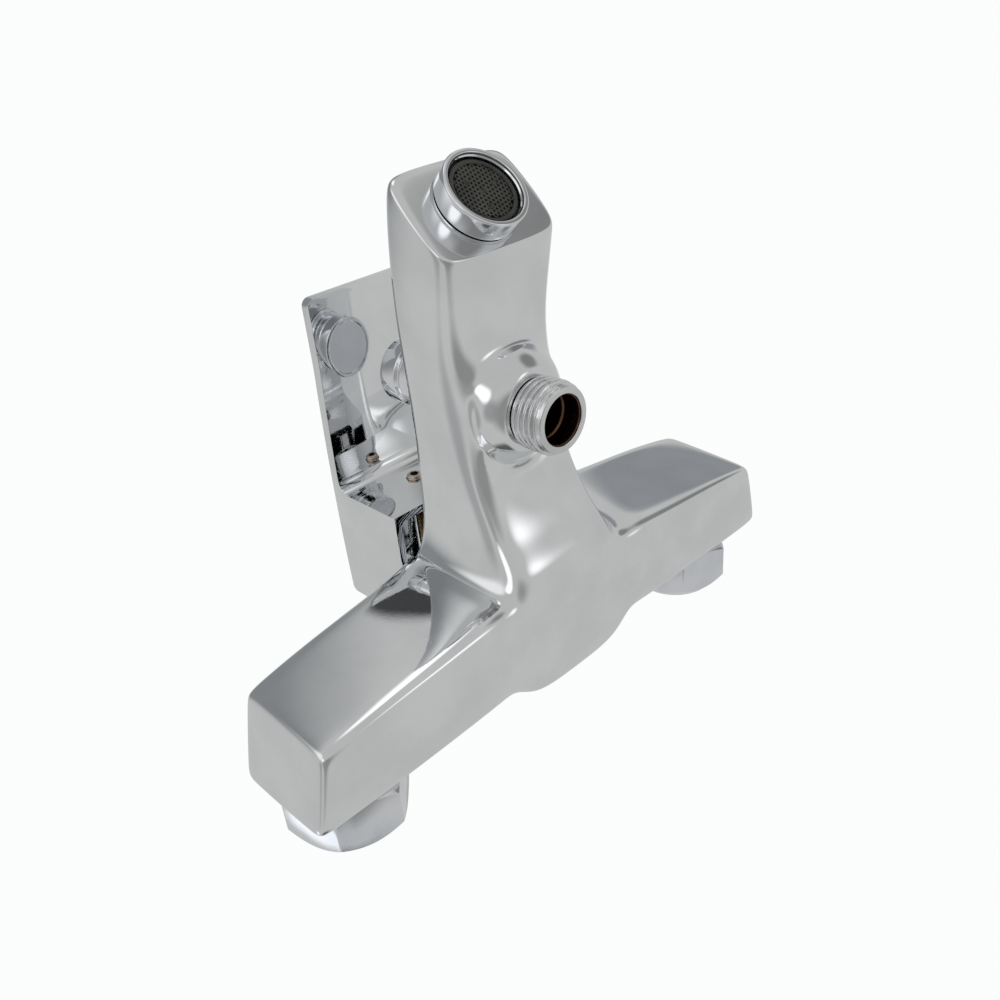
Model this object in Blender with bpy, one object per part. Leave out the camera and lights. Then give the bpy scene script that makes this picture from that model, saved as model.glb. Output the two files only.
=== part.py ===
"""Wall mounted bath faucet: single lever, spout with an aerator, diverter and hose outlet.

Metres, +Z up. The origin lies midway between the two inlets, in the plane of the wall
side faces of the union nuts. +Y points into the wall and +X to the right.
"""
import math

import bmesh
import bpy
from mathutils import Matrix, Vector

MM = 0.001

# Driving dimensions, in millimetres.
INLET_CENTRES = 150.0
NUT_ACROSS_FLATS = 32.0
NUT_LENGTH = 17.0
NUT_TURN = math.radians(-14.5)
BAR_FRONT_Y = -45.3
BAR_BACK_Y = -19.5
BAR_BOTTOM_Z = -20.5
BAR_TOP_Z = 14.7
BAR_HALF_FRONT = 90.3
BAR_HALF_BACK = 96.2
BODY_TOP_Z = 24.5
CARTRIDGE_Y = -37.5
CARTRIDGE_RADIUS = 17.4
POCKET_FLOOR_Z = -1.5
PORT_SPREAD = 8.0
INLET_PORT_BACK = 4.3
MIXED_PORT_FRONT = 8.1
PIVOT_Z = 22.5
OUTLET_Y = -97.5
HOSE_END_Z = -19.5
HOSE_THREAD_RADIUS = 10.35
HOSE_BORE_RADIUS = 7.05
KNOB_RADIUS = 10.4
KNOB_TOP_Z = 45.2
FACE_CENTRE = Vector((0.0, -151.3, 7.0))
FACE_AXIS = Vector((0.0, -0.7109, -0.7033)).normalized()
AERATOR_RADIUS = 12.0
AERATOR_REACH = 7.0
LEVER_HALF_WIDTH = 21.5
LEVER_FRONT_Y = -122.0
LEVER_BACK_Y = -18.2
LEVER_TOP_Z = 64.3
LEVER_THICKNESS = 3.3
BLOCK_FRONT_Y = -58.0
BLOCK_BOTTOM_Z = 33.5
BLOCK_WALL = 2.5

UP = Vector((0.0, 0.0, 1.0))
TO_WALL = Vector((0.0, 1.0, 0.0))
ALONG_X = Vector((1.0, 0.0, 0.0))
SIDES = (("left", -1.0), ("right", 1.0))
# Bores are turned a little about their axes, so that no two share a line of corners.
DRILL_PHASE = math.radians(6.5)

CHROME = ((0.80, 0.81, 0.83), 1.0, 0.05)
BRASS = ((0.72, 0.50, 0.24), 1.0, 0.28)
STEEL = ((0.60, 0.60, 0.61), 1.0, 0.25)
RUBBER = ((0.03, 0.03, 0.03), 0.0, 0.65)
WHITE_PLASTIC = ((0.82, 0.82, 0.80), 0.0, 0.40)
GREY_PLASTIC = ((0.17, 0.17, 0.14), 0.0, 0.45)
WHITE_CERAMIC = ((0.88, 0.87, 0.84), 0.0, 0.15)


def clear_scene():
    for item in list(bpy.data.objects):
        bpy.data.objects.remove(item, do_unlink=True)


def make_material(name, finish):
    colour, metallic, roughness = finish
    material = bpy.data.materials.new(name)
    material.use_nodes = True
    shader = material.node_tree.nodes["Principled BSDF"]
    shader.inputs["Base Color"].default_value = (*colour, 1.0)
    shader.inputs["Metallic"].default_value = metallic
    shader.inputs["Roughness"].default_value = roughness
    return material


def make_object(name, mesh_edit, finish=None, origin=(0.0, 0.0, 0.0), smooth_angle=35.0):
    """Turn a bmesh drawn in world millimetres into an object whose origin is at origin."""
    bmesh.ops.recalc_face_normals(mesh_edit, faces=mesh_edit.faces)
    start = Vector(origin)
    for vert in mesh_edit.verts:
        vert.co = (vert.co - start) * MM
    mesh = bpy.data.meshes.new(name)
    mesh_edit.to_mesh(mesh)
    mesh_edit.free()
    mesh.shade_smooth()
    mesh.set_sharp_from_angle(angle=math.radians(smooth_angle))
    item = bpy.data.objects.new(name, mesh)
    item.location = start * MM
    bpy.context.scene.collection.objects.link(item)
    if finish is None:
        item.hide_render = True
        item.display_type = "WIRE"
    else:
        mesh.materials.append(make_material(name, finish))
    return item


def axis_frame(axis):
    return axis.to_track_quat("Z", "Y").to_matrix()


def turned_bmesh(profile, centre, axis, segments, phase=0.0):
    """Revolve (radius, height) points about an axis; a radius of 0 closes on the axis."""
    mesh_edit = bmesh.new()
    frame = axis_frame(axis)
    centre = Vector(centre)
    rings = []
    for radius, height in profile:
        if radius == 0.0:
            rings.append([mesh_edit.verts.new(centre + frame @ Vector((0.0, 0.0, height)))])
            continue
        ring = []
        for step in range(segments):
            angle = phase + 2.0 * math.pi * step / segments
            spot = Vector((radius * math.cos(angle), radius * math.sin(angle), height))
            ring.append(mesh_edit.verts.new(centre + frame @ spot))
        rings.append(ring)
    pairs = list(zip(rings, rings[1:]))
    if profile[0][0] != 0.0:
        pairs.append((rings[-1], rings[0]))
    for lower, upper in pairs:
        for step in range(segments):
            after = (step + 1) % segments
            corners = [lower[step % len(lower)], lower[after % len(lower)],
                       upper[after % len(upper)], upper[step % len(upper)]]
            mesh_edit.faces.new(list(dict.fromkeys(corners)))
    return mesh_edit


def turned(name, profile, centre, finish=None, axis=UP, segments=32, origin=(0.0, 0.0, 0.0)):
    return make_object(name, turned_bmesh(profile, centre, axis, segments), finish, origin)


def ring_profile(inner, outer, low, high):
    return [(inner, low), (outer, low), (outer, high), (inner, high)]


def rod_profile(radius, low, high, chamfer=0.0):
    if chamfer == 0.0:
        return [(0.0, low), (radius, low), (radius, high), (0.0, high)]
    return [(0.0, low), (radius - chamfer, low), (radius, low + chamfer),
            (radius, high - chamfer), (radius - chamfer, high), (0.0, high)]


def seal_profile(major, minor, sides=8):
    turns = [2.0 * math.pi * side / sides for side in range(sides)]
    return [(major + minor * math.cos(turn), minor * math.sin(turn)) for turn in turns]


def box_bmesh(low, high):
    mesh_edit = bmesh.new()
    size = Vector(high) - Vector(low)
    place = Matrix.Translation((Vector(low) + Vector(high)) / 2.0) @ Matrix.Diagonal((*size, 1.0))
    bmesh.ops.create_cube(mesh_edit, size=1.0, matrix=place)
    return mesh_edit


def box(name, low, high, finish=None, origin=(0.0, 0.0, 0.0)):
    return make_object(name, box_bmesh(low, high), finish, origin)


def drill(name, start, end, radius, segments=20):
    """A round cutter from one point to another."""
    start = Vector(start)
    reach = Vector(end) - start
    profile = rod_profile(radius, 0.0, reach.length)
    mesh_edit = turned_bmesh(profile, start, reach.normalized(), segments, DRILL_PHASE)
    return make_object(name, mesh_edit)


def apply_cutter(target, cutter, operation="DIFFERENCE"):
    modifier = target.modifiers.new(cutter.name, "BOOLEAN")
    modifier.operation = operation
    modifier.solver = "EXACT"
    modifier.object = cutter


def apply_cutters(target, cutters):
    """Cut every bore in one step, so that they may cross each other."""
    group = bpy.data.collections.new("cutters_" + target.name)
    bpy.context.scene.collection.children.link(group)
    for cutter in cutters:
        bpy.context.scene.collection.objects.unlink(cutter)
        group.objects.link(cutter)
    modifier = target.modifiers.new("bores", "BOOLEAN")
    modifier.operation = "DIFFERENCE"
    modifier.solver = "EXACT"
    modifier.operand_type = "COLLECTION"
    modifier.collection = group


def subdivide(target, levels):
    modifier = target.modifiers.new("smooth", "SUBSURF")
    modifier.levels = levels
    modifier.render_levels = levels


def thin_out(target, ratio):
    modifier = target.modifiers.new("thin", "DECIMATE")
    modifier.decimate_type = "COLLAPSE"
    modifier.ratio = ratio
    modifier.use_symmetry = True
    modifier.symmetry_axis = "X"


def round_edges(target, width, segments=2):
    modifier = target.modifiers.new("edges", "BEVEL")
    modifier.width = width * MM
    modifier.segments = segments
    modifier.limit_method = "ANGLE"
    modifier.angle_limit = math.radians(40.0)


# Body casting

# Bar stations from the end toward the centre: x at the front, x at the back, front edge y at
# the bottom and at the top, back y, top z and the corner size.
BAR_STATIONS = (
    (89.0, 95.0, -44.8, -47.2, BAR_BACK_Y, BAR_TOP_Z, 0.9),
    (71.0, 71.0, -47.0, -51.2, BAR_BACK_Y, 14.8, 1.1),
    (53.0, 51.0, -48.4, -53.8, BAR_BACK_Y, 15.3, 1.4),
    (38.5, 31.0, -50.0, -54.8, BAR_BACK_Y, 17.4, 2.0),
    (30.5, 25.0, -51.0, -55.0, -19.2, 21.2, 3.0),
)
# Where the spout leaves the bar: the ring of corners on the bar's own surface.
ROOT_BOTTOM = (18.5, -47.5, BAR_BOTTOM_Z)
ROOT_LOW = (25.5, -51.0, -15.5)
ROOT_HIGH = (25.5, -53.5, 19.5)
ROOT_TOP = (20.5, -49.0, BODY_TOP_Z)
BULGE_BACK_X = 17.5
BULGE_BACK_Y = -13.0
BULGE_CORNER = 1.4

# Spout sections from the root to the tip: bottom y and z, top y and z, half width, corner.
SPOUT_SECTIONS = (
    (-55.5, -18.6, -60.0, 24.7, 22.4, 5.0),
    (-62.5, -12.6, -68.0, 24.8, 21.2, 4.2),
    (-71.0, -8.4, -77.0, 24.8, 20.7, 3.4),
    (-80.5, -5.0, -87.0, 24.8, 20.5, 2.9),
    (-97.5, -1.1, -99.5, 25.0, 20.5, 2.6),
    (-114.5, 0.2, -113.5, 25.1, 20.7, 2.4),
    (-128.0, -1.1, -133.0, 24.2, 21.2, 2.1),
    (-141.5, -3.0, -160.5, 19.4, 21.8, 1.8),
)
# The rim of the slanted end face, measured in its own plane.
TIP_CENTRE = Vector((0.0, -151.7, 7.4))
TIP_HALF_WIDTH = 21.8
TIP_HALF_HEIGHT = 14.9
TIP_CORNER = 1.9
TIP_INSETS = (0.7, 3.6)
# The outlet boss grows between these two sections.
BOSS_FIRST = 3
BOSS_LAST = 5
# Rings of the outlet boss under the spout: limit radius and z.
BOSS_RINGS = ((16.8, -2.8), (15.0, -5.6), (12.8, -7.6), (11.4, -8.6), (10.0, -8.8))
OCTAGON_SHRINK = (4.0 + 2.0 * math.cos(math.radians(45.0))) / 6.0


def bar_ring(mesh_edit, side, station, inset=0.0, cap_reach=None):
    """Eight corners around the bar, from the bottom front edge round to the bottom back.

    A cap ring ignores the station's x and lies in the bar's slanted end plane.
    """
    front_x, back_x, low_front, high_front, back, top, corner = station
    bottom = BAR_BOTTOM_Z + inset
    top = top - inset
    low_front = low_front + inset
    high_front = high_front + inset
    back = back - inset
    spots = ((front_x, low_front + corner, bottom), (front_x, low_front, bottom + corner),
             (front_x, high_front, top - corner), (front_x, high_front + corner, top),
             (back_x, back - corner, top), (back_x, back, top - corner),
             (back_x, back, bottom + corner), (back_x, back - corner, bottom))
    ring = []
    for x, y, z in spots:
        if cap_reach is not None:
            share = (y - BAR_FRONT_Y) / (BAR_BACK_Y - BAR_FRONT_Y)
            x = BAR_HALF_FRONT + (BAR_HALF_BACK - BAR_HALF_FRONT) * share + cap_reach
        ring.append(mesh_edit.verts.new((x * side, y, z)))
    return ring


def bridge(mesh_edit, first, second):
    count = len(first)
    for index in range(count):
        after = (index + 1) % count
        mesh_edit.faces.new((first[index], first[after], second[after], second[index]))


def cap_octagon(mesh_edit, ring):
    mesh_edit.faces.new((ring[0], ring[1], ring[2], ring[3]))
    mesh_edit.faces.new((ring[0], ring[3], ring[4], ring[7]))
    mesh_edit.faces.new((ring[4], ring[5], ring[6], ring[7]))


def root_station(mesh_edit, side):
    """The bar's section at the spout: front corners on the root ring, back on the bulge."""
    front = [mesh_edit.verts.new((x * side, y, z))
             for x, y, z in (ROOT_BOTTOM, ROOT_LOW, ROOT_HIGH, ROOT_TOP)]
    back_x = BULGE_BACK_X * side
    spots = ((back_x, BULGE_BACK_Y - BULGE_CORNER, BODY_TOP_Z),
             (back_x, BULGE_BACK_Y, BODY_TOP_Z - BULGE_CORNER),
             (back_x, BULGE_BACK_Y, BAR_BOTTOM_Z + BULGE_CORNER),
             (back_x, BULGE_BACK_Y - BULGE_CORNER, BAR_BOTTOM_Z))
    return front + [mesh_edit.verts.new(spot) for spot in spots]


def middle_station(mesh_edit):
    spots = ((0.0, ROOT_BOTTOM[1], BAR_BOTTOM_Z), (0.0, ROOT_TOP[1], BODY_TOP_Z),
             (0.0, BULGE_BACK_Y - BULGE_CORNER, BODY_TOP_Z),
             (0.0, BULGE_BACK_Y, BODY_TOP_Z - BULGE_CORNER),
             (0.0, BULGE_BACK_Y, BAR_BOTTOM_Z + BULGE_CORNER),
             (0.0, BULGE_BACK_Y - BULGE_CORNER, BAR_BOTTOM_Z))
    return [mesh_edit.verts.new(spot) for spot in spots]


def bar_side(mesh_edit, side):
    """One arm of the bar, from its end cap to the station beside the spout."""
    end = BAR_STATIONS[0]
    inner = bar_ring(mesh_edit, side, end, inset=8.0, cap_reach=0.6)
    rim = bar_ring(mesh_edit, side, end, inset=0.9, cap_reach=0.2)
    shoulder = bar_ring(mesh_edit, side, end, cap_reach=-1.0)
    rings = [inner, rim, shoulder]
    rings += [bar_ring(mesh_edit, side, station) for station in BAR_STATIONS[1:]]
    rings.append(root_station(mesh_edit, side))
    cap_octagon(mesh_edit, inner)
    for first, second in zip(rings, rings[1:]):
        bridge(mesh_edit, first, second)
    return rings[-1]


def spout_ring(mesh_edit, section):
    """Ten corners: bottom left, middle, right, up the right side, over the top and down."""
    low_y, low_z, high_y, high_z, half, corner = section
    height = high_z - low_z
    lower_y = low_y + (high_y - low_y) * corner / height
    upper_y = high_y - (high_y - low_y) * corner / height
    inner = half - corner
    spots = ((-inner, low_y, low_z), (0.0, low_y, low_z), (inner, low_y, low_z),
             (half, lower_y, low_z + corner), (half, upper_y, high_z - corner),
             (inner, high_y, high_z), (0.0, high_y, high_z), (-inner, high_y, high_z),
             (-half, upper_y, high_z - corner), (-half, lower_y, low_z + corner))
    return [mesh_edit.verts.new(spot) for spot in spots]


def tip_ring(mesh_edit, inset):
    """The rim of the slanted end face, drawn in the face's own plane."""
    up_face = Vector((0.0, FACE_AXIS.z, -FACE_AXIS.y))
    corner = TIP_CORNER
    wide = TIP_HALF_WIDTH - inset
    tall = TIP_HALF_HEIGHT - inset
    flat = ((corner - wide, -tall), (0.0, -tall), (wide - corner, -tall), (wide, corner - tall),
            (wide, tall - corner), (wide - corner, tall), (0.0, tall), (corner - wide, tall),
            (-wide, tall - corner), (-wide, corner - tall))
    return [mesh_edit.verts.new(TIP_CENTRE + ALONG_X * across + up_face * rise)
            for across, rise in flat]


def boss_rings(mesh_edit, sections):
    """The outlet boss grows from the four underside faces between two spout sections."""
    first, middle, last = (sections[index] for index in range(BOSS_FIRST, BOSS_LAST + 1))
    loop = [first[0], first[1], first[2], middle[2], last[2], last[1], last[0], middle[0]]
    for radius, height in BOSS_RINGS:
        ring = []
        for index in range(8):
            angle = math.radians(135.0 - 45.0 * index)
            reach = radius / OCTAGON_SHRINK
            ring.append(mesh_edit.verts.new((reach * math.cos(angle),
                                             OUTLET_Y + reach * math.sin(angle), height)))
        bridge(mesh_edit, loop, ring)
        loop = ring
    centre = mesh_edit.verts.new((0.0, OUTLET_Y, BOSS_RINGS[-1][1]))
    for index in range(0, 8, 2):
        mesh_edit.faces.new((loop[index - 1], loop[index], loop[index + 1], centre))


def body_cage():
    """A quad cage of the casting; subdivision rounds its edges and blends the spout."""
    mesh_edit = bmesh.new()
    left = bar_side(mesh_edit, -1.0)
    right = bar_side(mesh_edit, 1.0)
    middle = middle_station(mesh_edit)
    for station in (left, right):
        back = (station[3], station[4], station[5], station[6], station[7], station[0])
        centre = (middle[1], middle[2], middle[3], middle[4], middle[5], middle[0])
        for index in range(5):
            mesh_edit.faces.new((back[index], back[index + 1], centre[index + 1], centre[index]))
    root = [left[0], middle[0], right[0], right[1], right[2], right[3], middle[1], left[3],
            left[2], left[1]]
    sections = [spout_ring(mesh_edit, section) for section in SPOUT_SECTIONS]
    rings = [root] + sections
    rings += [tip_ring(mesh_edit, inset) for inset in TIP_INSETS]
    for first, second in zip(rings, rings[1:]):
        bridge(mesh_edit, first, second)
    boss_faces = []
    for number in (BOSS_FIRST, BOSS_FIRST + 1):
        near, far = sections[number], sections[number + 1]
        for column in (0, 1):
            corners = {near[column], near[column + 1], far[column], far[column + 1]}
            boss_faces += [face for face in near[column].link_faces
                           if set(face.verts) == corners]
    hidden = sections[BOSS_FIRST + 1][1]
    bmesh.ops.delete(mesh_edit, geom=boss_faces, context="FACES_ONLY")
    mesh_edit.verts.remove(hidden)
    boss_rings(mesh_edit, sections)
    tip = rings[-1]
    mesh_edit.faces.new((tip[0], tip[1], tip[6], tip[7]))
    mesh_edit.faces.new((tip[1], tip[2], tip[5], tip[6]))
    mesh_edit.faces.new((tip[2], tip[3], tip[4], tip[5]))
    mesh_edit.faces.new((tip[0], tip[7], tip[8], tip[9]))
    return mesh_edit


def water_cutters():
    """Every bore of the casting: pockets, waterways, the diverter's chamber and its seat."""
    cutters = []
    cutters.append(drill("cut_pocket", (0.0, CARTRIDGE_Y, POCKET_FLOOR_Z),
                         (0.0, CARTRIDGE_Y, 40.0), 17.8, 40))
    cutters.append(drill("cut_chamber", (0.0, OUTLET_Y, 6.5), (0.0, OUTLET_Y, 40.0), 8.5, 24))
    cutters.append(drill("cut_socket", (0.0, OUTLET_Y, -30.0), (0.0, OUTLET_Y, 1.0), 8.8, 24))
    cutters.append(drill("cut_seat", (0.0, OUTLET_Y, -4.0), (0.0, OUTLET_Y, 12.0), 5.5, 20))
    cutters.append(drill("cut_mouth", FACE_CENTRE - FACE_AXIS * 5.0,
                         FACE_CENTRE + FACE_AXIS * 9.0, 7.0, 24))
    mixed_y = CARTRIDGE_Y - MIXED_PORT_FRONT
    cutters.append(drill("cut_mixed_port", (0.0, mixed_y, -10.6), (0.0, mixed_y, 2.0), 3.6, 16))
    cutters.append(drill("cut_mixed_run", (0.0, -44.0, -11.4), (0.0, -93.5, 10.5), 3.7, 14))
    cutters.append(drill("cut_spout_run", (0.0, -101.0, 15.9), FACE_CENTRE - FACE_AXIS * 3.0,
                         4.4, 14))
    for side_name, side in SIDES:
        inlet_x = side * INLET_CENTRES / 2.0
        cutters.append(drill("cut_inlet_" + side_name, (inlet_x, -34.0, 0.0),
                             (inlet_x, -10.0, 0.0), 10.2, 24))
        cutters.append(drill("cut_drop_" + side_name, (inlet_x, -31.0, 2.0),
                             (inlet_x, -31.0, -13.5), 4.0, 16))
        cutters.append(drill("cut_run_" + side_name, (side * 79.0, -33.5, -13.0),
                             (side * 5.0, -33.5, -13.0), 4.1, 14))
        port = (side * PORT_SPREAD, CARTRIDGE_Y + INLET_PORT_BACK)
        cutters.append(drill("cut_port_" + side_name, (*port, -13.2), (*port, 2.0), 3.4, 14))
    return cutters


def make_body():
    body = make_object("faucet_body", body_cage(), CHROME, smooth_angle=50.0)
    subdivide(body, 2)
    thin_out(body, 0.36)
    boss = drill("add_aerator_boss", FACE_CENTRE - FACE_AXIS * 3.0,
                 FACE_CENTRE + FACE_AXIS * 2.6, 10.2, 32)
    apply_cutter(body, boss, "UNION")
    apply_cutters(body, water_cutters())


# Inlets

def hex_nut(name, inlet_x):
    """Union nut with its thread open to the wall and a lip behind the tail's flange."""
    corner_radius = NUT_ACROSS_FLATS / math.sqrt(3.0)
    mesh_edit = turned_bmesh(rod_profile(corner_radius, -NUT_LENGTH, 0.0), (inlet_x, 0.0, 0.0),
                             TO_WALL, 6)
    centre = Vector((inlet_x, 0.0, 0.0))
    bmesh.ops.rotate(mesh_edit, verts=mesh_edit.verts, cent=centre,
                     matrix=Matrix.Rotation(-NUT_TURN, 3, "Y"))
    nut = make_object(name, mesh_edit, CHROME, origin=centre)
    facing = NUT_ACROSS_FLATS / 2.0
    trim = [(0.0, -20.0), (facing - 0.6, -20.0), (facing - 0.6, -NUT_LENGTH - 0.2),
            (facing + 3.0, -NUT_LENGTH + 2.2), (facing + 3.0, -5.3), (facing - 2.5, 0.2),
            (facing - 2.5, 3.0), (0.0, 3.0)]
    cone = turned("trim_" + name, trim, centre, axis=TO_WALL, segments=36)
    apply_cutter(nut, cone, "INTERSECT")
    bore = turned("bore_" + name, [(0.0, -20.0), (10.25, -20.0), (10.25, -12.7), (12.1, -12.7),
                                   (12.1, -0.4), (12.7, 0.2), (12.7, 3.0), (0.0, 3.0)],
                  centre, axis=TO_WALL, segments=30)
    apply_cutter(nut, bore)
    return nut


def make_inlet(side_name, side):
    inlet_x = side * INLET_CENTRES / 2.0
    centre = (inlet_x, 0.0, 0.0)
    tail = [(7.0, -33.4), (9.9, -33.4), (9.9, -28.3), (8.4, -28.3), (8.4, -26.5), (9.9, -26.5),
            (9.9, -12.4), (11.6, -12.4), (11.6, -9.8), (7.0, -9.8)]
    turned("inlet_tail_" + side_name, tail, centre, BRASS, axis=TO_WALL, segments=24)
    turned("tail_seal_" + side_name, seal_profile(9.25, 0.7), (inlet_x, -27.4, 0.0), RUBBER,
           axis=TO_WALL, segments=20)
    hex_nut("union_nut_" + side_name, inlet_x)
    strainer = turned("inlet_strainer_" + side_name, rod_profile(11.6, -9.5, -7.3), centre,
                      STEEL, axis=TO_WALL, segments=24)
    for number in range(7):
        reach = 0.0 if number == 6 else 6.0
        angle = math.radians(60.0 * number)
        spot = (inlet_x + reach * math.cos(angle), -12.0, reach * math.sin(angle))
        hole = drill(f"hole_{side_name}_{number}", spot, (spot[0], -5.0, spot[2]), 2.1, 6)
        apply_cutter(strainer, hole)


# Cartridge

def port_spots():
    """Three ports of the cartridge: cold and hot at the back, mixed water at the front."""
    return ((-PORT_SPREAD, CARTRIDGE_Y + INLET_PORT_BACK),
            (PORT_SPREAD, CARTRIDGE_Y + INLET_PORT_BACK),
            (0.0, CARTRIDGE_Y - MIXED_PORT_FRONT))


def ported_disc(name, radius, low, high, hole_radius, finish, segments):
    disc = turned(name, rod_profile(radius, low, high), (0.0, CARTRIDGE_Y, 0.0), finish,
                  segments=segments)
    for number, (x, y) in enumerate(port_spots()):
        hole = drill(f"port_{name}_{number}", (x, y, low - 3.0), (x, y, high + 3.0),
                     hole_radius, 12)
        apply_cutter(disc, hole)


def make_cartridge():
    centre = (0.0, CARTRIDGE_Y, 0.0)
    pivot = (0.0, CARTRIDGE_Y, PIVOT_Z)
    ported_disc("base_seal", 17.0, -1.2, 0.3, 3.2, RUBBER, 32)
    ported_disc("cartridge_base", CARTRIDGE_RADIUS, 0.6, 4.0, 2.9, WHITE_PLASTIC, 32)
    ported_disc("fixed_disc", 12.6, 4.3, 7.3, 2.6, WHITE_CERAMIC, 28)
    moving = turned("moving_disc", rod_profile(10.4, 7.6, 10.6, 0.3), centre, WHITE_CERAMIC,
                    segments=28, origin=centre)
    recess = drill("recess_moving_disc", (0.0, CARTRIDGE_Y - 1.6, 5.0),
                   (0.0, CARTRIDGE_Y - 1.6, 9.2), 5.2, 16)
    apply_cutter(moving, recess)
    carrier = turned("disc_carrier", rod_profile(10.4, 10.9, 14.4, 0.3), centre, GREY_PLASTIC,
                     segments=28, origin=centre)
    slot = box("slot_disc_carrier", (-2.8, CARTRIDGE_Y - 3.4, 11.2),
               (2.8, CARTRIDGE_Y + 3.4, 17.0))
    apply_cutter(carrier, slot)
    housing = [(15.2, 4.3), (CARTRIDGE_RADIUS, 4.3), (CARTRIDGE_RADIUS, 19.5), (8.6, 19.5),
               (8.6, 17.3), (15.2, 17.3)]
    turned("cartridge_housing", housing, centre, WHITE_PLASTIC, segments=32)
    guide = turned("turn_guide", [(0.0, 14.9), (13.6, 14.9), (13.6, 16.9), (8.2, 16.9),
                                  (8.2, 27.0), (0.0, 27.0)],
                   centre, GREY_PLASTIC, segments=28, origin=centre)
    opening = box("slot_turn_guide", (-3.9, CARTRIDGE_Y - 7.0, 12.0),
                  (3.9, CARTRIDGE_Y + 7.0, 30.0))
    apply_cutter(guide, opening)
    apply_cutter(guide, drill("pin_hole_turn_guide", (-12.0, *pivot[1:]), (12.0, *pivot[1:]),
                              1.5, 12))
    turned("stem_pin", rod_profile(1.2, -7.9, 7.9, 0.2), pivot, STEEL, axis=ALONG_X,
           segments=12, origin=centre)
    stem = box("lever_stem", (-3.5, CARTRIDGE_Y - 3.5, 15.5), (3.5, CARTRIDGE_Y + 3.5, 55.8),
               BRASS, origin=pivot)
    foot = box("foot_lever_stem", (-2.3, CARTRIDGE_Y - 2.3, 11.6),
               (2.3, CARTRIDGE_Y + 2.3, 17.0))
    apply_cutter(stem, foot, "UNION")
    apply_cutter(stem, drill("pin_hole_lever_stem", (-6.0, *pivot[1:]), (6.0, *pivot[1:]),
                             1.5, 12))
    nut = [(9.4, 19.8), (CARTRIDGE_RADIUS, 19.8), (CARTRIDGE_RADIUS, 23.6),
           (CARTRIDGE_RADIUS - 0.5, 24.1), (9.4, 24.1)]
    turned("retaining_nut", nut, centre, CHROME, segments=36)
    cover = dome_profile(15.5, 1.4, 24.4, 28.5, 34.0)
    turned("dome_cover", cover, centre, CHROME, segments=32)


def dome_profile(radius, wall, low, shoulder, high):
    """A skirt that rounds over to an opening for the stem."""
    opening = 9.2
    sweep = math.radians(70.0)
    steps = 4
    reach = (radius - opening - 0.4) / (1.0 - math.cos(sweep))
    rise = (high - shoulder) / math.sin(sweep)
    outer = []
    for step in range(steps + 1):
        angle = sweep * step / steps
        outer.append((radius - reach * (1.0 - math.cos(angle)),
                      shoulder + rise * math.sin(angle)))
    inner = [(opening, high), (opening, high - wall), (radius - wall - 1.6, shoulder + 1.5),
             (radius - wall, shoulder - 1.0), (radius - wall, low)]
    return [(radius, low)] + outer + inner


# Handle

def handle_outline():
    """Side view of the lever plate and its block, as (y, z), with the inner fillet."""
    under = LEVER_TOP_Z - LEVER_THICKNESS
    fillet = 4.5
    points = [(LEVER_FRONT_Y, LEVER_TOP_Z), (LEVER_FRONT_Y, under)]
    for step in range(7):
        angle = math.radians(90.0 * step / 6)
        points.append((BLOCK_FRONT_Y - fillet + fillet * math.sin(angle),
                       under - fillet + fillet * math.cos(angle)))
    points += [(BLOCK_FRONT_Y, BLOCK_BOTTOM_Z), (LEVER_BACK_Y, BLOCK_BOTTOM_Z)]
    back_corner = 2.0
    for step in range(5):
        angle = math.radians(90.0 * step / 4)
        points.append((LEVER_BACK_Y - back_corner + back_corner * math.cos(angle),
                       LEVER_TOP_Z - back_corner + back_corner * math.sin(angle)))
    return points


def make_handle():
    pivot = (0.0, CARTRIDGE_Y, PIVOT_Z)
    mesh_edit = bmesh.new()
    profile = [mesh_edit.verts.new((-LEVER_HALF_WIDTH, y, z)) for y, z in handle_outline()]
    face = mesh_edit.faces.new(profile)
    grown = bmesh.ops.extrude_face_region(mesh_edit, geom=[face])
    moved = [part for part in grown["geom"] if isinstance(part, bmesh.types.BMVert)]
    bmesh.ops.translate(mesh_edit, verts=moved, vec=(2.0 * LEVER_HALF_WIDTH, 0.0, 0.0))
    handle = make_object("handle", mesh_edit, CHROME, origin=pivot)
    round_edges(handle, 0.9)
    under = LEVER_TOP_Z - LEVER_THICKNESS
    cavity = box("cavity_handle",
                 (BLOCK_WALL - LEVER_HALF_WIDTH, BLOCK_FRONT_Y + BLOCK_WALL, 20.0),
                 (LEVER_HALF_WIDTH - BLOCK_WALL, LEVER_BACK_Y - BLOCK_WALL, under - 0.5))
    socket_block = box("keep_handle_socket", (-6.5, BLOCK_FRONT_Y - 5.0, 43.0),
                       (6.5, CARTRIDGE_Y + 7.5, 70.0))
    apply_cutter(cavity, socket_block)
    apply_cutter(handle, cavity)
    square = box("socket_handle", (-3.9, CARTRIDGE_Y - 3.9, 30.0), (3.9, CARTRIDGE_Y + 3.9, 57.0))
    apply_cutter(handle, square)
    screw_z = (LEVER_TOP_Z + BLOCK_BOTTOM_Z) / 2.0
    apply_cutter(handle, drill("screw_hole_handle", (0.0, -70.0, screw_z),
                               (0.0, CARTRIDGE_Y, screw_z), 2.8, 16))
    screw = turned("handle_set_screw", rod_profile(2.5, -58.6, -41.4, 0.4), (0.0, 0.0, screw_z),
                   BRASS, axis=TO_WALL, segments=16, origin=pivot)
    hexagon = turned("key_handle_set_screw", rod_profile(1.45, -62.0, -56.0),
                     (0.0, 0.0, screw_z), axis=TO_WALL, segments=6)
    apply_cutter(screw, hexagon)


# Diverter and hose outlet

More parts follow.
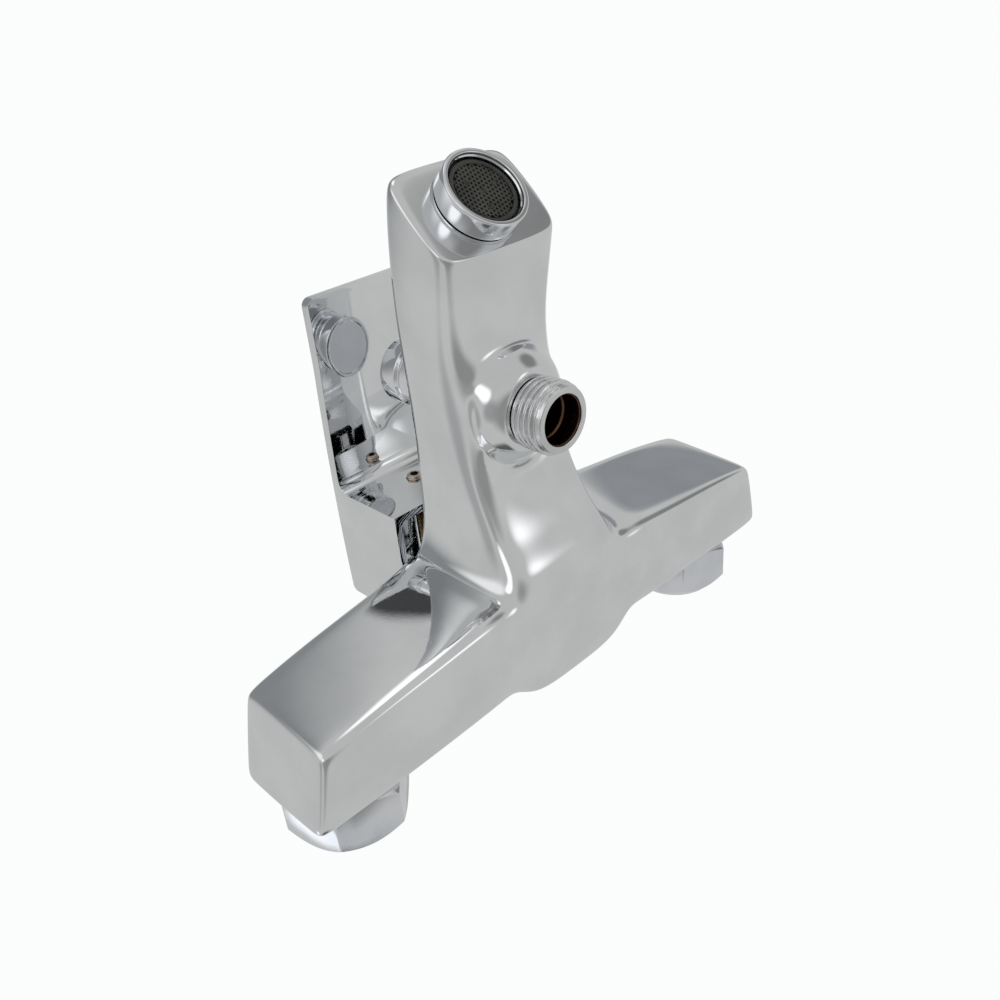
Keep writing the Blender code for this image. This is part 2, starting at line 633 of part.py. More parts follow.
def coil_bmesh(coil_radius, wire_radius, low, high, turns):
    """A closed wire helix with flat ends."""
    mesh_edit = bmesh.new()
    sides = 6
    steps = int(turns * 12)
    rings = []
    for step in range(steps + 1):
        share = step / steps
        angle = 2.0 * math.pi * turns * share
        outward = Vector((math.cos(angle), math.sin(angle), 0.0))
        height = low + wire_radius + (high - low - 2.0 * wire_radius) * share
        middle = Vector((0.0, OUTLET_Y, height)) + outward * coil_radius
        ring = []
        for side in range(sides):
            turn = 2.0 * math.pi * side / sides
            offset = outward * math.cos(turn) + UP * math.sin(turn)
            ring.append(mesh_edit.verts.new(middle + offset * wire_radius))
        rings.append(ring)
    for first, second in zip(rings, rings[1:]):
        bridge(mesh_edit, first, second)
    mesh_edit.faces.new(rings[0])
    mesh_edit.faces.new(rings[-1])
    return mesh_edit


def thread_profile(crest, root, low, high, ridges):
    """Outer side of a threaded tube as evenly spaced ridges, from the bottom up."""
    pitch = (high - low) / ridges
    points = []
    for ridge in range(ridges):
        base = low + ridge * pitch
        points += [(root, base), (crest, base + pitch * 0.45), (crest, base + pitch * 0.62)]
    points.append((root, high))
    return points


def make_diverter():
    centre = (0.0, OUTLET_Y, 0.0)
    bonnet = [(2.4, 20.5), (8.2, 20.5), (8.2, 21.5), (6.9, 21.5), (6.9, 23.3), (8.2, 23.3),
              (8.2, 25.4), (10.2, 25.4), (10.2, 26.6), (9.4, 27.3), (2.4, 27.3)]
    turned("diverter_bonnet", bonnet, centre, CHROME, segments=24)
    turned("bonnet_seal", seal_profile(7.65, 0.7), (0.0, OUTLET_Y, 22.4), RUBBER, segments=20)
    turned("diverter_rod", rod_profile(2.0, 5.6, 38.0, 0.3), centre, STEEL, segments=16,
           origin=centre)
    turned("diverter_valve", ring_profile(2.4, 7.6, 9.0, 11.0), centre, BRASS, segments=24,
           origin=centre)
    turned("diverter_seal", ring_profile(2.4, 7.2, 6.9, 8.7), centre, RUBBER, segments=24,
           origin=centre)
    spring = coil_bmesh(4.6, 0.35, 11.3, 20.2, 4.0)
    make_object("diverter_spring", spring, STEEL, origin=centre)
    knob = [(0.0, 38.4), (2.4, 38.4), (2.4, 28.2), (7.6, 28.2), (8.6, 29.0), (9.3, 31.0),
            (9.9, 34.0), (KNOB_RADIUS, 38.5), (KNOB_RADIUS, KNOB_TOP_Z - 1.0),
            (KNOB_RADIUS - 0.3, KNOB_TOP_Z - 0.3), (KNOB_RADIUS - 1.0, KNOB_TOP_Z),
            (0.0, KNOB_TOP_Z)]
    turned("diverter_knob", knob, centre, CHROME, segments=32, origin=centre)


def make_hose_outlet():
    centre = (0.0, OUTLET_Y, 0.0)
    lead = 1.2
    thread = [(HOSE_BORE_RADIUS, HOSE_END_Z), (9.5, HOSE_END_Z), (9.7, HOSE_END_Z + 0.3)]
    thread += thread_profile(HOSE_THREAD_RADIUS, 9.7, HOSE_END_Z + lead, -9.1, 5)
    nipple = thread + [(8.5, -9.1), (8.5, -0.8), (HOSE_BORE_RADIUS, -0.8)]
    turned("hose_nipple", nipple, centre, CHROME, segments=24)
    turned("nipple_seal", ring_profile(7.1, 8.4, -0.5, 0.7), centre, RUBBER, segments=24)


# Aerator

def make_aerator():
    housing = [(10.5, 0.3), (11.6, 0.3), (AERATOR_RADIUS, 0.8),
               (AERATOR_RADIUS, AERATOR_REACH - 0.6), (AERATOR_RADIUS - 0.5, AERATOR_REACH),
               (10.3, AERATOR_REACH), (10.0, AERATOR_REACH - 0.3), (10.0, 5.7), (10.5, 5.7)]
    turned("aerator_housing", housing, FACE_CENTRE, CHROME, axis=FACE_AXIS, segments=32)
    turned("aerator_gasket", ring_profile(7.2, 10.2, 2.9, 3.9), FACE_CENTRE, RUBBER,
           axis=FACE_AXIS, segments=24)
    insert = turned("aerator_insert", [(0.0, 4.2), (10.2, 4.2), (10.2, 5.4), (9.4, 5.4),
                                       (9.4, 6.2), (0.0, 6.2)],
                    FACE_CENTRE, GREY_PLASTIC, axis=FACE_AXIS, segments=32)
    frame = axis_frame(FACE_AXIS)
    number = 0
    for ring, count in ((0.0, 1), (5.2, 6)):
        for step in range(count):
            angle = 2.0 * math.pi * step / count
            spot = FACE_CENTRE + frame @ Vector((ring * math.cos(angle),
                                                 ring * math.sin(angle), 0.0))
            hole = drill(f"hole_insert_{number}", spot + FACE_AXIS * 3.0,
                         spot + FACE_AXIS * 8.0, 1.8, 6)
            apply_cutter(insert, hole)
            number += 1


def main():
    clear_scene()
    make_body()
    for side_name, side in SIDES:
        make_inlet(side_name, side)
    make_cartridge()
    make_handle()
    make_diverter()
    make_hose_outlet()
    make_aerator()


main()
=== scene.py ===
import math

import bmesh
import bpy
from mathutils import Matrix, Vector


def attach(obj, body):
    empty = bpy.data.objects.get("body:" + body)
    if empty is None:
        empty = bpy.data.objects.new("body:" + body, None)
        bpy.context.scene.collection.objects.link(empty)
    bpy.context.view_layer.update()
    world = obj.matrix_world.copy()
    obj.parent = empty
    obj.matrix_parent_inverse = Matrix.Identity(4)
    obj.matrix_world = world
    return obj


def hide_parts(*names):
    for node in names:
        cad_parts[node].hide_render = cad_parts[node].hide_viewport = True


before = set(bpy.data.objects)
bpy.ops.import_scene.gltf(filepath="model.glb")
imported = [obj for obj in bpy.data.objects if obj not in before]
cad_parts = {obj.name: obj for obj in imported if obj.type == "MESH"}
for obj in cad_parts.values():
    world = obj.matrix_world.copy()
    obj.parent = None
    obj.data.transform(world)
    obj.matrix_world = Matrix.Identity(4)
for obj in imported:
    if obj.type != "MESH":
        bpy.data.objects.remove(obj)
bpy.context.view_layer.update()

mm = 0.001
toWall = Vector((0.0, 1.0, 0.0))
upward = Vector((0.0, 0.0, 1.0))
sides = (("left", -1.0), ("right", 1.0))

# Places shared by several pieces, in millimetres.
place = {
    "inletX": 75.0,
    "cartridge": Vector((0.0, -37.5, 0.0)),
    "outlet": Vector((0.0, -97.5, 0.0)),
    "faceCentre": Vector((0.0, -151.3, 7.0)),
    "faceAxis": Vector((0.0, -0.7109, -0.7033)).normalized(),
}


# Mesh helpers. Shapes are drawn in millimetres and become metres in plainMesh.

def plainMesh(shape, label):
    bmesh.ops.remove_doubles(shape, verts=shape.verts, dist=0.0005)
    bmesh.ops.recalc_face_normals(shape, faces=shape.faces)
    for vert in shape.verts:
        vert.co *= mm
    mesh = bpy.data.meshes.new(label)
    shape.to_mesh(mesh)
    shape.free()
    return mesh


def asPiece(name, mesh, finish, sharpAngle=32.0):
    mesh.materials.clear()
    mesh.materials.append(finish)
    mesh.shade_smooth()
    mesh.set_sharp_from_angle(angle=math.radians(sharpAngle))
    piece = bpy.data.objects.new(name, mesh)
    bpy.context.scene.collection.objects.link(piece)
    return piece


def settle(piece):
    # Apply every modifier and keep only the plain result.
    graph = bpy.context.evaluated_depsgraph_get()
    mesh = bpy.data.meshes.new_from_object(piece.evaluated_get(graph))
    piece.modifiers.clear()
    piece.data = mesh
    return mesh


def axisTurn(axis):
    return axis.to_track_quat("Z", "Y").to_matrix()


def rounded(points, steps=4):
    # Corners given as (radius, height, fillet) become short arcs; a closed outline.
    outline = []
    count = len(points)
    for index, (radius, height, fillet) in enumerate(points):
        here = Vector((radius, height))
        if fillet <= 0.0:
            outline.append(here)
            continue
        before = Vector(points[index - 1][:2]) - here
        after = Vector(points[(index + 1) % count][:2]) - here
        half = before.angle(after) / 2.0
        reach = min(fillet / math.tan(half), before.length * 0.49, after.length * 0.49)
        size = reach * math.tan(half)
        middle = here + (before.normalized() + after.normalized()).normalized() * (
            size / math.sin(half))
        start = here + before.normalized() * reach - middle
        end = here + after.normalized() * reach - middle
        sweep = start.angle_signed(end)
        for step in range(steps + 1):
            turn = -sweep * step / steps
            outline.append(middle + Matrix.Rotation(turn, 2) @ start)
    return [(point.x, point.y) for point in outline]


def lathe(profile, centre, axis, segments=64, turn=0.0):
    shape = bmesh.new()
    turnTo = axisTurn(axis)
    rings = []
    for radius, height in profile:
        count = 1 if radius < 1e-6 else segments
        ring = []
        for step in range(count):
            angle = turn + 2.0 * math.pi * step / segments
            spot = Vector((radius * math.cos(angle), radius * math.sin(angle), height))
            ring.append(shape.verts.new(centre + turnTo @ spot))
        rings.append(ring)
    pairs = list(zip(rings, rings[1:]))
    if len(rings[0]) > 1:
        pairs.append((rings[-1], rings[0]))
    for lower, upper in pairs:
        for step in range(segments):
            after = (step + 1) % segments
            corners = [lower[step % len(lower)], lower[after % len(lower)],
                       upper[after % len(upper)], upper[step % len(upper)]]
            corners = list(dict.fromkeys(corners))
            if len(corners) > 2:
                shape.faces.new(corners)
    return shape


def blockShape(low, high):
    shape = bmesh.new()
    size = Vector(high) - Vector(low)
    where = Matrix.Translation((Vector(low) + Vector(high)) / 2.0)
    bmesh.ops.create_cube(shape, size=1.0, matrix=where @ Matrix.Diagonal((*size, 1.0)))
    return shape


def cutter(shape, label):
    tool = bpy.data.objects.new(label, plainMesh(shape, label))
    bpy.context.scene.collection.objects.link(tool)
    return tool


def combine(piece, tools, operation="DIFFERENCE"):
    # One exact Boolean for all the tools, which are used up.
    group = bpy.data.collections.new(piece.name + "Tools")
    bpy.context.scene.collection.children.link(group)
    for tool in tools:
        bpy.context.scene.collection.objects.unlink(tool)
        group.objects.link(tool)
    modifier = piece.modifiers.new("cut", "BOOLEAN")
    modifier.operation = operation
    modifier.solver = "EXACT"
    modifier.operand_type = "COLLECTION"
    modifier.collection = group
    settle(piece)
    for tool in tools:
        bpy.data.objects.remove(tool)
    bpy.data.collections.remove(group)


def softenEdges(piece, width, segments=3, angle=38.0):
    modifier = piece.modifiers.new("soften", "BEVEL")
    modifier.width = width * mm
    modifier.segments = segments
    modifier.limit_method = "ANGLE"
    modifier.angle_limit = math.radians(angle)
    modifier.harden_normals = False
    settle(piece)


# Geometry Nodes helpers.

def newTree(name, inputs):
    tree = bpy.data.node_groups.new(name, "GeometryNodeTree")
    tree.interface.new_socket("Geometry", in_out="OUTPUT", socket_type="NodeSocketGeometry")
    for title, kind, value in inputs:
        socket = tree.interface.new_socket(title, in_out="INPUT", socket_type=kind)
        if value is not None:
            socket.default_value = value
    return tree


def addNode(tree, kind, links=None, **settings):
    node = tree.nodes.new(kind)
    for key, value in settings.items():
        setattr(node, key, value)
    for key, value in (links or {}).items():
        socket = node.inputs[key]
        if isinstance(value, bpy.types.NodeSocket):
            tree.links.new(value, socket)
        else:
            socket.default_value = value
    return node


def calc(tree, operation, *values, clamp=False):
    node = addNode(tree, "ShaderNodeMath", dict(enumerate(values)), operation=operation,
                   use_clamp=clamp)
    return node.outputs[0]


def vecCalc(tree, operation, *values):
    node = addNode(tree, "ShaderNodeVectorMath", dict(enumerate(values)), operation=operation)
    return node.outputs["Value" if operation in ("DOT_PRODUCT", "LENGTH") else "Vector"]


def grow(tree, values, label):
    # Run a tree on an empty holder and return the plain mesh.
    holder = bpy.data.objects.new(label, bpy.data.meshes.new(label))
    bpy.context.scene.collection.objects.link(holder)
    modifier = holder.modifiers.new("grow", "NODES")
    modifier.node_group = tree
    for item in tree.interface.items_tree:
        if item.item_type == "SOCKET" and item.in_out == "INPUT" and item.name in values:
            modifier[item.identifier] = values[item.name]
    graph = bpy.context.evaluated_depsgraph_get()
    mesh = bpy.data.meshes.new_from_object(holder.evaluated_get(graph))
    bpy.data.objects.remove(holder)
    return mesh


def finishTree(tree, geometry, material):
    whole = addNode(tree, "GeometryNodeRealizeInstances", {"Geometry": geometry})
    coated = addNode(tree, "GeometryNodeSetMaterial",
                     {"Geometry": whole.outputs["Geometry"], "Material": material})
    addNode(tree, "NodeGroupOutput", {"Geometry": coated.outputs["Geometry"]})


def makeThreadTree():
    # A tube wall with one helical ridge that fades out at both ends.
    tree = newTree("helicalThread", [
        ("Root Radius", "NodeSocketFloat", 0.01), ("Crest Height", "NodeSocketFloat", 0.0006),
        ("Length", "NodeSocketFloat", 0.01), ("Pitch", "NodeSocketFloat", 0.0018),
        ("Segments", "NodeSocketInt", 72), ("Rows", "NodeSocketInt", 60),
        ("Material", "NodeSocketMaterial", None)])
    given = tree.nodes.new("NodeGroupInput").outputs
    sheet = addNode(tree, "GeometryNodeMeshGrid", {
        "Size X": 1.0, "Size Y": 1.0,
        "Vertices X": calc(tree, "ADD", given["Segments"], 1.0),
        "Vertices Y": calc(tree, "ADD", given["Rows"], 1.0)})
    spot = addNode(tree, "ShaderNodeSeparateXYZ",
                   {0: tree.nodes.new("GeometryNodeInputPosition").outputs[0]})
    around = calc(tree, "ADD", spot.outputs["X"], 0.5)
    along = calc(tree, "ADD", spot.outputs["Y"], 0.5)
    turns = calc(tree, "DIVIDE", given["Length"], given["Pitch"])
    climbed = calc(tree, "MULTIPLY", along, turns)
    phase = calc(tree, "FRACT", calc(tree, "SUBTRACT", climbed, around))
    wave = calc(tree, "ABSOLUTE", calc(tree, "MULTIPLY_ADD", phase, 2.0, -1.0))
    ridge = addNode(tree, "ShaderNodeMapRange",
                    {"Value": wave, "From Min": 0.82, "From Max": 0.22},
                    interpolation_type="SMOOTHSTEP").outputs["Result"]
    fadeIn = calc(tree, "MULTIPLY", climbed, 1.4, clamp=True)
    fadeOut = calc(tree, "MULTIPLY", calc(tree, "SUBTRACT", turns, climbed), 1.4, clamp=True)
    raised = calc(tree, "MULTIPLY", ridge, calc(tree, "MULTIPLY", fadeIn, fadeOut))
    radius = calc(tree, "MULTIPLY_ADD", raised, given["Crest Height"], given["Root Radius"])
    angle = calc(tree, "MULTIPLY", around, 2.0 * math.pi)
    moved = addNode(tree, "ShaderNodeCombineXYZ", {
        "X": calc(tree, "MULTIPLY", radius, calc(tree, "COSINE", angle)),
        "Y": calc(tree, "MULTIPLY", radius, calc(tree, "SINE", angle)),
        "Z": calc(tree, "MULTIPLY", along, given["Length"])})
    placed = addNode(tree, "GeometryNodeSetPosition", {
        "Geometry": sheet.outputs["Mesh"], "Position": moved.outputs[0]})
    closed = addNode(tree, "GeometryNodeMergeByDistance", {
        "Geometry": placed.outputs[0], "Distance": 1e-6})
    finishTree(tree, closed.outputs[0], given["Material"])
    return tree


def makeScreenTree():
    # Two layers of straight wires, each cut to its chord of a circle.
    tree = newTree("wireScreen", [
        ("Radius", "NodeSocketFloat", 0.009), ("Pitch", "NodeSocketFloat", 0.0011),
        ("Wire Width", "NodeSocketFloat", 0.0004), ("Wire Height", "NodeSocketFloat", 0.0005),
        ("Count", "NodeSocketInt", 15), ("Turn", "NodeSocketFloat", 0.0),
        ("Material", "NodeSocketMaterial", None)])
    given = tree.nodes.new("NodeGroupInput").outputs
    first = calc(tree, "MULTIPLY", calc(tree, "SUBTRACT", given["Count"], 1.0), -0.5)
    start = addNode(tree, "ShaderNodeCombineXYZ",
                    {"Y": calc(tree, "MULTIPLY", first, given["Pitch"])})
    pitch = addNode(tree, "ShaderNodeCombineXYZ", {"Y": given["Pitch"]})
    row = addNode(tree, "GeometryNodeMeshLine", {
        "Count": given["Count"], "Start Location": start.outputs[0],
        "Offset": pitch.outputs[0]}, mode="OFFSET")
    away = addNode(tree, "ShaderNodeSeparateXYZ",
                   {0: tree.nodes.new("GeometryNodeInputPosition").outputs[0]}).outputs["Y"]
    inside = calc(tree, "SUBTRACT", calc(tree, "MULTIPLY", given["Radius"], given["Radius"]),
                  calc(tree, "MULTIPLY", away, away))
    chord = calc(tree, "MULTIPLY", calc(tree, "SQRT", calc(tree, "MAXIMUM", inside, 1e-8)), 2.0)
    size = addNode(tree, "ShaderNodeCombineXYZ", {
        "X": chord, "Y": given["Wire Width"], "Z": given["Wire Height"]})
    wire = addNode(tree, "GeometryNodeMeshCube", {
        "Size": (1.0, 1.0, 1.0), "Vertices X": 2, "Vertices Y": 2, "Vertices Z": 2})
    layer = addNode(tree, "GeometryNodeInstanceOnPoints", {
        "Points": row.outputs["Mesh"], "Instance": wire.outputs["Mesh"],
        "Scale": size.outputs[0]})
    whole = addNode(tree, "GeometryNodeRealizeInstances", {"Geometry": layer.outputs[0]})
    lift = addNode(tree, "ShaderNodeCombineXYZ", {"Z": given["Wire Height"]})
    crossed = addNode(tree, "GeometryNodeTransform", {
        "Geometry": whole.outputs[0], "Translation": lift.outputs[0],
        "Rotation": (0.0, 0.0, math.radians(90.0))})
    both = tree.nodes.new("GeometryNodeJoinGeometry")
    tree.links.new(whole.outputs[0], both.inputs[0])
    tree.links.new(crossed.outputs[0], both.inputs[0])
    spin = addNode(tree, "ShaderNodeCombineXYZ", {"Z": given["Turn"]})
    turned = addNode(tree, "GeometryNodeTransform", {
        "Geometry": both.outputs[0], "Rotation": spin.outputs[0]})
    finishTree(tree, turned.outputs[0], given["Material"])
    return tree


def makeCoilTree():
    # A round wire wound along a helix, with its ends closed.
    tree = newTree("woundCoil", [
        ("Coil Radius", "NodeSocketFloat", 0.0046), ("Wire Radius", "NodeSocketFloat", 0.00035),
        ("Height", "NodeSocketFloat", 0.008), ("Turns", "NodeSocketFloat", 4.0),
        ("Material", "NodeSocketMaterial", None)])
    given = tree.nodes.new("NodeGroupInput").outputs
    path = addNode(tree, "GeometryNodeCurveSpiral", {
        "Resolution": 48, "Rotations": given["Turns"], "Start Radius": given["Coil Radius"],
        "End Radius": given["Coil Radius"], "Height": given["Height"]})
    ring = addNode(tree, "GeometryNodeCurvePrimitiveCircle", {
        "Resolution": 12, "Radius": given["Wire Radius"]}, mode="RADIUS")
    wire = addNode(tree, "GeometryNodeCurveToMesh", {
        "Curve": path.outputs["Curve"], "Profile Curve": ring.outputs["Curve"],
        "Fill Caps": True})
    finishTree(tree, wire.outputs["Mesh"], given["Material"])
    return tree


threadTree = makeThreadTree()
screenTree = makeScreenTree()
coilTree = makeCoilTree()
print("node trees ready")


# Finishes. Shared effects are node groups; each material gives them its own values.

def newGroup(name, inputs, outputs):
    group = bpy.data.node_groups.new(name, "ShaderNodeTree")
    for title, kind, value in inputs:
        socket = group.interface.new_socket(title, in_out="INPUT", socket_type=kind)
        socket.default_value = value
    for title, kind in outputs:
        group.interface.new_socket(title, in_out="OUTPUT", socket_type=kind)
    return group


def noise(tree, coords, scale, detail=3.0, roughness=0.5):
    node = addNode(tree, "ShaderNodeTexNoise", {
        "Vector": coords, "Scale": scale, "Detail": detail, "Roughness": roughness})
    return node.outputs["Fac"]


def spread(tree, value, low, high, toLow=0.0, toHigh=1.0):
    node = addNode(tree, "ShaderNodeMapRange", {
        "Value": value, "From Min": low, "From Max": high, "To Min": toLow, "To Max": toHigh},
        interpolation_type="SMOOTHSTEP")
    return node.outputs["Result"]


def makeWaver():
    # Slow ripples left by hand polishing, plus the fine peel of the plating.
    group = newGroup("polishWaver", [
        ("Vector", "NodeSocketVector", (0.0, 0.0, 0.0)), ("Ripple Scale", "NodeSocketFloat", 30.0),
        ("Ripple", "NodeSocketFloat", 1.0), ("Peel Scale", "NodeSocketFloat", 900.0),
        ("Peel", "NodeSocketFloat", 0.1)], [("Height", "NodeSocketFloat")])
    given = group.nodes.new("NodeGroupInput").outputs
    ripple = calc(group, "MULTIPLY", noise(group, given["Vector"], given["Ripple Scale"], 1.0),
                  given["Ripple"])
    peel = calc(group, "MULTIPLY", noise(group, given["Vector"], given["Peel Scale"], 2.0),
                given["Peel"])
    addNode(group, "NodeGroupOutput", {"Height": calc(group, "ADD", ripple, peel)})
    return group


def makeMarks():
    # Finger smears, dust and hairline scratches, given back as masks.
    group = newGroup("handMarks", [
        ("Vector", "NodeSocketVector", (0.0, 0.0, 0.0)), ("Smear Scale", "NodeSocketFloat", 45.0),
        ("Scratch Scale", "NodeSocketFloat", 160.0), ("Dust", "NodeSocketFloat", 0.2)],
        [("Smear", "NodeSocketFloat"), ("Scratch", "NodeSocketFloat"), ("Dust", "NodeSocketFloat")])
    given = group.nodes.new("NodeGroupInput").outputs
    smear = spread(group, noise(group, given["Vector"], given["Smear Scale"], 5.0, 0.6), 0.48, 0.72)
    stretched = vecCalc(group, "MULTIPLY", given["Vector"], (1.0, 7.0, 0.35))
    warp = addNode(group, "ShaderNodeTexNoise", {
        "Vector": given["Vector"], "Scale": 25.0, "Detail": 1.0})
    bent = vecCalc(group, "ADD", stretched,
                   vecCalc(group, "SCALE", warp.outputs["Color"], (0.0, 0.0, 0.0)))
    bentNode = bent.node
    bentScale = bentNode.inputs[1].links[0].from_node
    bentScale.inputs["Scale"].default_value = 0.03
    lines = addNode(group, "ShaderNodeTexVoronoi", {
        "Vector": bent, "Scale": given["Scratch Scale"]}, feature="DISTANCE_TO_EDGE")
    broken = spread(group, noise(group, given["Vector"], 70.0, 2.0), 0.52, 0.60)
    scratch = calc(group, "MULTIPLY", spread(group, lines.outputs["Distance"], 0.035, 0.0), broken)
    specks = addNode(group, "ShaderNodeTexVoronoi", {"Vector": given["Vector"], "Scale": 420.0})
    dust = calc(group, "MULTIPLY", spread(group, specks.outputs["Distance"], 0.16, 0.05),
                given["Dust"])
    addNode(group, "NodeGroupOutput", {"Smear": smear, "Scratch": scratch, "Dust": dust})
    return group


def makeToolRings():
    # Fine turning marks around an axis through a centre.
    group = newGroup("toolRings", [
        ("Vector", "NodeSocketVector", (0.0, 0.0, 0.0)), ("Centre", "NodeSocketVector", (0.0, 0.0, 0.0)),
        ("Axis", "NodeSocketVector", (0.0, 0.0, 1.0)), ("Spacing", "NodeSocketFloat", 0.0004)],
        [("Height", "NodeSocketFloat"), ("Band", "NodeSocketFloat")])
    given = group.nodes.new("NodeGroupInput").outputs
    away = vecCalc(group, "SUBTRACT", given["Vector"], given["Centre"])
    height = vecCalc(group, "DOT_PRODUCT", away, given["Axis"])
    lifted = addNode(group, "ShaderNodeVectorMath",
                     {0: given["Axis"], "Scale": height}, operation="SCALE").outputs["Vector"]
    radial = vecCalc(group, "LENGTH", vecCalc(group, "SUBTRACT", away, lifted))
    travel = calc(group, "DIVIDE", calc(group, "ADD", radial, height), given["Spacing"])
    coords = addNode(group, "ShaderNodeCombineXYZ", {"X": travel}).outputs[0]
    band = noise(group, coords, 1.0, 3.0, 0.7)
    grain = noise(group, given["Vector"], 700.0, 2.0)
    addNode(group, "NodeGroupOutput", {
        "Height": calc(group, "MULTIPLY_ADD", grain, 0.15, band), "Band": band})
    return group


def makeTint():
    # A colour that drifts a little between two values.
    group = newGroup("driftingTint", [
        ("Vector", "NodeSocketVector", (0.0, 0.0, 0.0)), ("Scale", "NodeSocketFloat", 40.0),
        ("First", "NodeSocketColor", (0.8, 0.8, 0.8, 1.0)),
        ("Second", "NodeSocketColor", (0.7, 0.7, 0.7, 1.0)),
        ("Spots", "NodeSocketFloat", 0.0)], [("Color", "NodeSocketColor")])
    given = group.nodes.new("NodeGroupInput").outputs
    drift = spread(group, noise(group, given["Vector"], given["Scale"], 4.0), 0.3, 0.7)
    share = calc(group, "MAXIMUM", drift, given["Spots"])
    blend = addNode(group, "ShaderNodeMix", {0: share, 6: given["First"], 7: given["Second"]},
                    data_type="RGBA")
    addNode(group, "NodeGroupOutput", {"Color": blend.outputs[2]})
    return group


waver = makeWaver()
marks = makeMarks()
toolRings = makeToolRings()
tint = makeTint()


def startMaterial(name):
    material = bpy.data.materials.new(name)
    material.use_nodes = True
    tree = material.node_tree
    shader = tree.nodes["Principled BSDF"]
    coords = tree.nodes.new("ShaderNodeTexCoord").outputs["Object"]
    return material, tree, shader, coords


def useGroup(tree, group, links):
    node = tree.nodes.new("ShaderNodeGroup")
    node.node_tree = group
    for key, value in links.items():
        if isinstance(value, bpy.types.NodeSocket):
            tree.links.new(value, node.inputs[key])
        else:
            node.inputs[key].default_value = value
    return node.outputs


def raiseBump(tree, shader, height, distance, strength=1.0):
    bump = addNode(tree, "ShaderNodeBump",
                   {"Height": height, "Distance": distance, "Strength": strength})
    tree.links.new(bump.outputs["Normal"], shader.inputs["Normal"])


def chromeFinish(name, given):
    # Polished plating: a drifting tint, smears in the gloss and slow ripples in the surface.
    material, tree, shader, coords = startMaterial(name)
    shader.inputs["Metallic"].default_value = 1.0
    worn = useGroup(tree, marks, {"Vector": coords, "Smear Scale": given["smearScale"],
                                  "Scratch Scale": 160.0, "Dust": given["dust"]})
    colour = useGroup(tree, tint, {"Vector": coords, "Scale": 60.0, "First": given["bright"],
                                   "Second": given["dull"], "Spots": worn["Dust"]})
    tree.links.new(colour["Color"], shader.inputs["Base Color"])
    gloss = calc(tree, "MULTIPLY_ADD", worn["Smear"], given["smear"], given["gloss"])
    scratched = calc(tree, "MULTIPLY_ADD", worn["Scratch"], given["scratch"], gloss)
    dusty = calc(tree, "MULTIPLY_ADD", worn["Dust"], 0.35, scratched)
    tree.links.new(dusty, shader.inputs["Roughness"])
    height = useGroup(tree, waver, {"Vector": coords, "Ripple Scale": given["rippleScale"],
                                    "Ripple": given["ripple"], "Peel": given["peel"]})
    raiseBump(tree, shader, height["Height"], given["depth"])
    return material


def turnedFinish(name, given):
    # Machined metal with turning marks around its own axis.
    material, tree, shader, coords = startMaterial(name)
    shader.inputs["Metallic"].default_value = 1.0
    rings = useGroup(tree, toolRings, {"Vector": coords, "Centre": given["centre"],
                                       "Axis": given["axis"], "Spacing": given["spacing"]})
    stained = noise(tree, coords, 180.0, 5.0, 0.65)
    colour = useGroup(tree, tint, {"Vector": coords, "Scale": 120.0, "First": given["bright"],
                                   "Second": given["dull"],
                                   "Spots": spread(tree, stained, 0.55, 0.8)})
    tree.links.new(colour["Color"], shader.inputs["Base Color"])
    tree.links.new(calc(tree, "MULTIPLY_ADD", rings["Band"], 0.16, given["gloss"]),
                   shader.inputs["Roughness"])
    raiseBump(tree, shader, rings["Height"], given["depth"])
    return material


def mouldedFinish(name, given):
    # Plastic, rubber or ceramic: fine grain, faint flow marks and scattered dust specks.
    material, tree, shader, coords = startMaterial(name)
    shader.inputs["IOR"].default_value = given["ior"]
    flow = noise(tree, coords, given["flowScale"], 3.0, 0.55)
    grain = noise(tree, coords, given["grainScale"], 3.0, 0.7)
    worn = useGroup(tree, marks, {"Vector": coords, "Dust": given["dust"]})
    colour = useGroup(tree, tint, {"Vector": coords, "Scale": given["flowScale"],
                                   "First": given["bright"], "Second": given["dull"],
                                   "Spots": worn["Dust"]})
    tree.links.new(colour["Color"], shader.inputs["Base Color"])
    gloss = calc(tree, "MULTIPLY_ADD", grain, given["glossSpread"], given["gloss"])
    tree.links.new(calc(tree, "MULTIPLY_ADD", worn["Smear"], 0.06, gloss),
                   shader.inputs["Roughness"])
    raiseBump(tree, shader, calc(tree, "MULTIPLY_ADD", flow, 0.4, grain), given["depth"])
    return material


